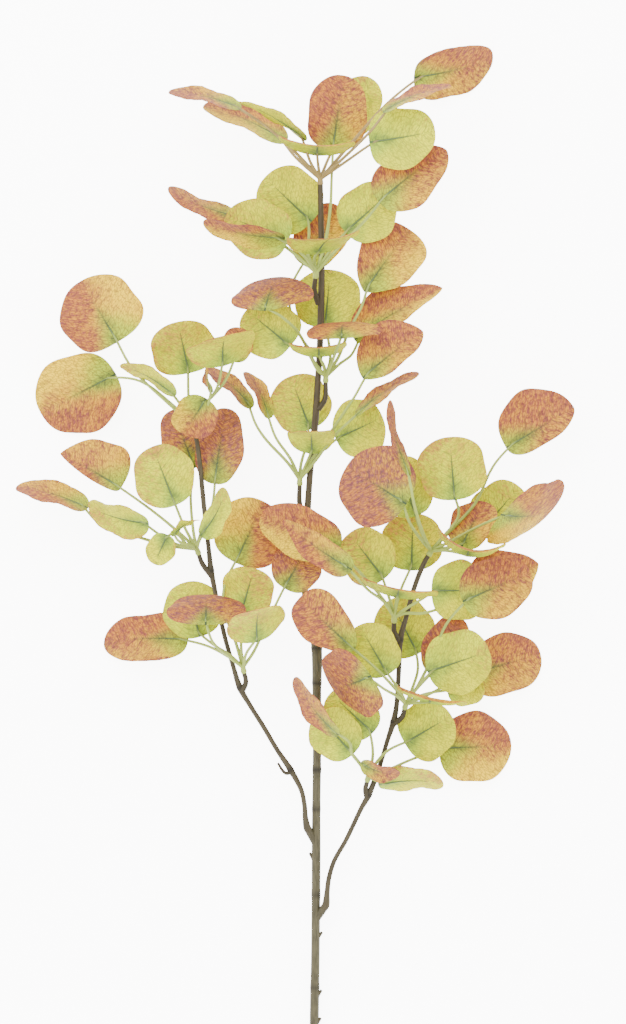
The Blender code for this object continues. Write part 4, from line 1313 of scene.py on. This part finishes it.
def build_sprays() -> None:
    """Build the stalks and blades of every spray."""
    upper = LeafPrint("leaf_upper_print", ground="d6960c", shade="cc8824", gold="e8c400",
                      warm="c0782c", red="7c3e40", mauve="6c3e54", base="a0b626", net="50282a",
                      vein="2c3e34", cover=0.85).build()
    under = LeafPrint("leaf_under_print", ground="d2dc0e", shade="b8c618", gold="e4d000",
                      warm="dc9c30", red="c07244", mauve="a8645e", base="a2be32", net="747e26",
                      vein="3c543e", cover=0.5).build()
    green = StemPlastic("green_stalk", "8f9c44", "727e38", "4c5c36").build()
    tan = StemPlastic("tan_stalk", "8e7a46", "6c5834", "4c5c36").build()
    for spray in MAIN_STEM_SPRAYS + LEFT_BRANCH_SPRAYS + RIGHT_BRANCH_SPRAYS:
        slot = "rose_tip_leaves" if spray in TIP_SPRAYS else "green_rose_leaves"
        dress(BladeSet(spray, (upper, under)).build(), spray.name, slot)
        dress(StalkSet(spray, tan if spray is TOP_SPRAY else green).build(), spray.name, slot)


def build_floor() -> None:
    """Lay the plain pale surface that the branch lies on."""
    shape = bmesh.new()
    grid = bmesh.ops.create_grid(shape, x_segments=1, y_segments=1, size=CARD_HALF_SIZE)
    bmesh.ops.translate(shape, verts=grid["verts"], vec=Vector((0, 0, -CARD_DEPTH)))
    card = LitCard("white_card", "f8f8f8", CARD_GLOW, CARD_LIGHT)
    new_piece("floor", shape, (card.build(),))


def light_scene() -> None:
    """Light the branch with a bright sky and one broad lamp from the upper left."""
    world = bpy.data.worlds.new("bright_room")
    world.use_nodes = True
    sky = world.node_tree.nodes["Background"]
    sky.inputs["Color"].default_value = (1.0, 1.0, 1.0, 1.0)
    sky.inputs["Strength"].default_value = SKY_STRENGTH
    bpy.context.scene.world = world
    lamp = bpy.data.lights.new("broad_lamp", "AREA")
    lamp.shape = "DISK"
    lamp.size = LAMP_SIZE
    lamp.energy = LAMP_WATTS
    holder = bpy.data.objects.new("broad_lamp", lamp)
    holder.location = LAMP_PLACE
    holder.rotation_euler = (-holder.location).to_track_quat("-Z", "Y").to_euler()
    bpy.context.scene.collection.objects.link(holder)


def aim_camera() -> None:
    """Look straight down on the branch, with the photograph's field."""
    camera = bpy.data.cameras.new("camera")
    camera.sensor_fit = "VERTICAL"
    camera.sensor_height = SENSOR_MM
    camera.lens = SENSOR_MM * CAMERA_DISTANCE / IMAGE_HEIGHT_MM
    camera.clip_end = CAMERA_REACH
    holder = bpy.data.objects.new("camera", camera)
    holder.location = placed(PHOTO_MIDDLE) + Vector((0, 0, CAMERA_DISTANCE * MM))
    bpy.context.scene.collection.objects.link(holder)
    bpy.context.scene.camera = holder


def main() -> None:
    """Build every piece, the floor, the light and the camera."""
    logging.basicConfig(level=logging.INFO, format="%(message)s")
    build_stems()
    build_sprays()
    build_floor()
    light_scene()
    aim_camera()


if __name__ == "__main__":
    main()
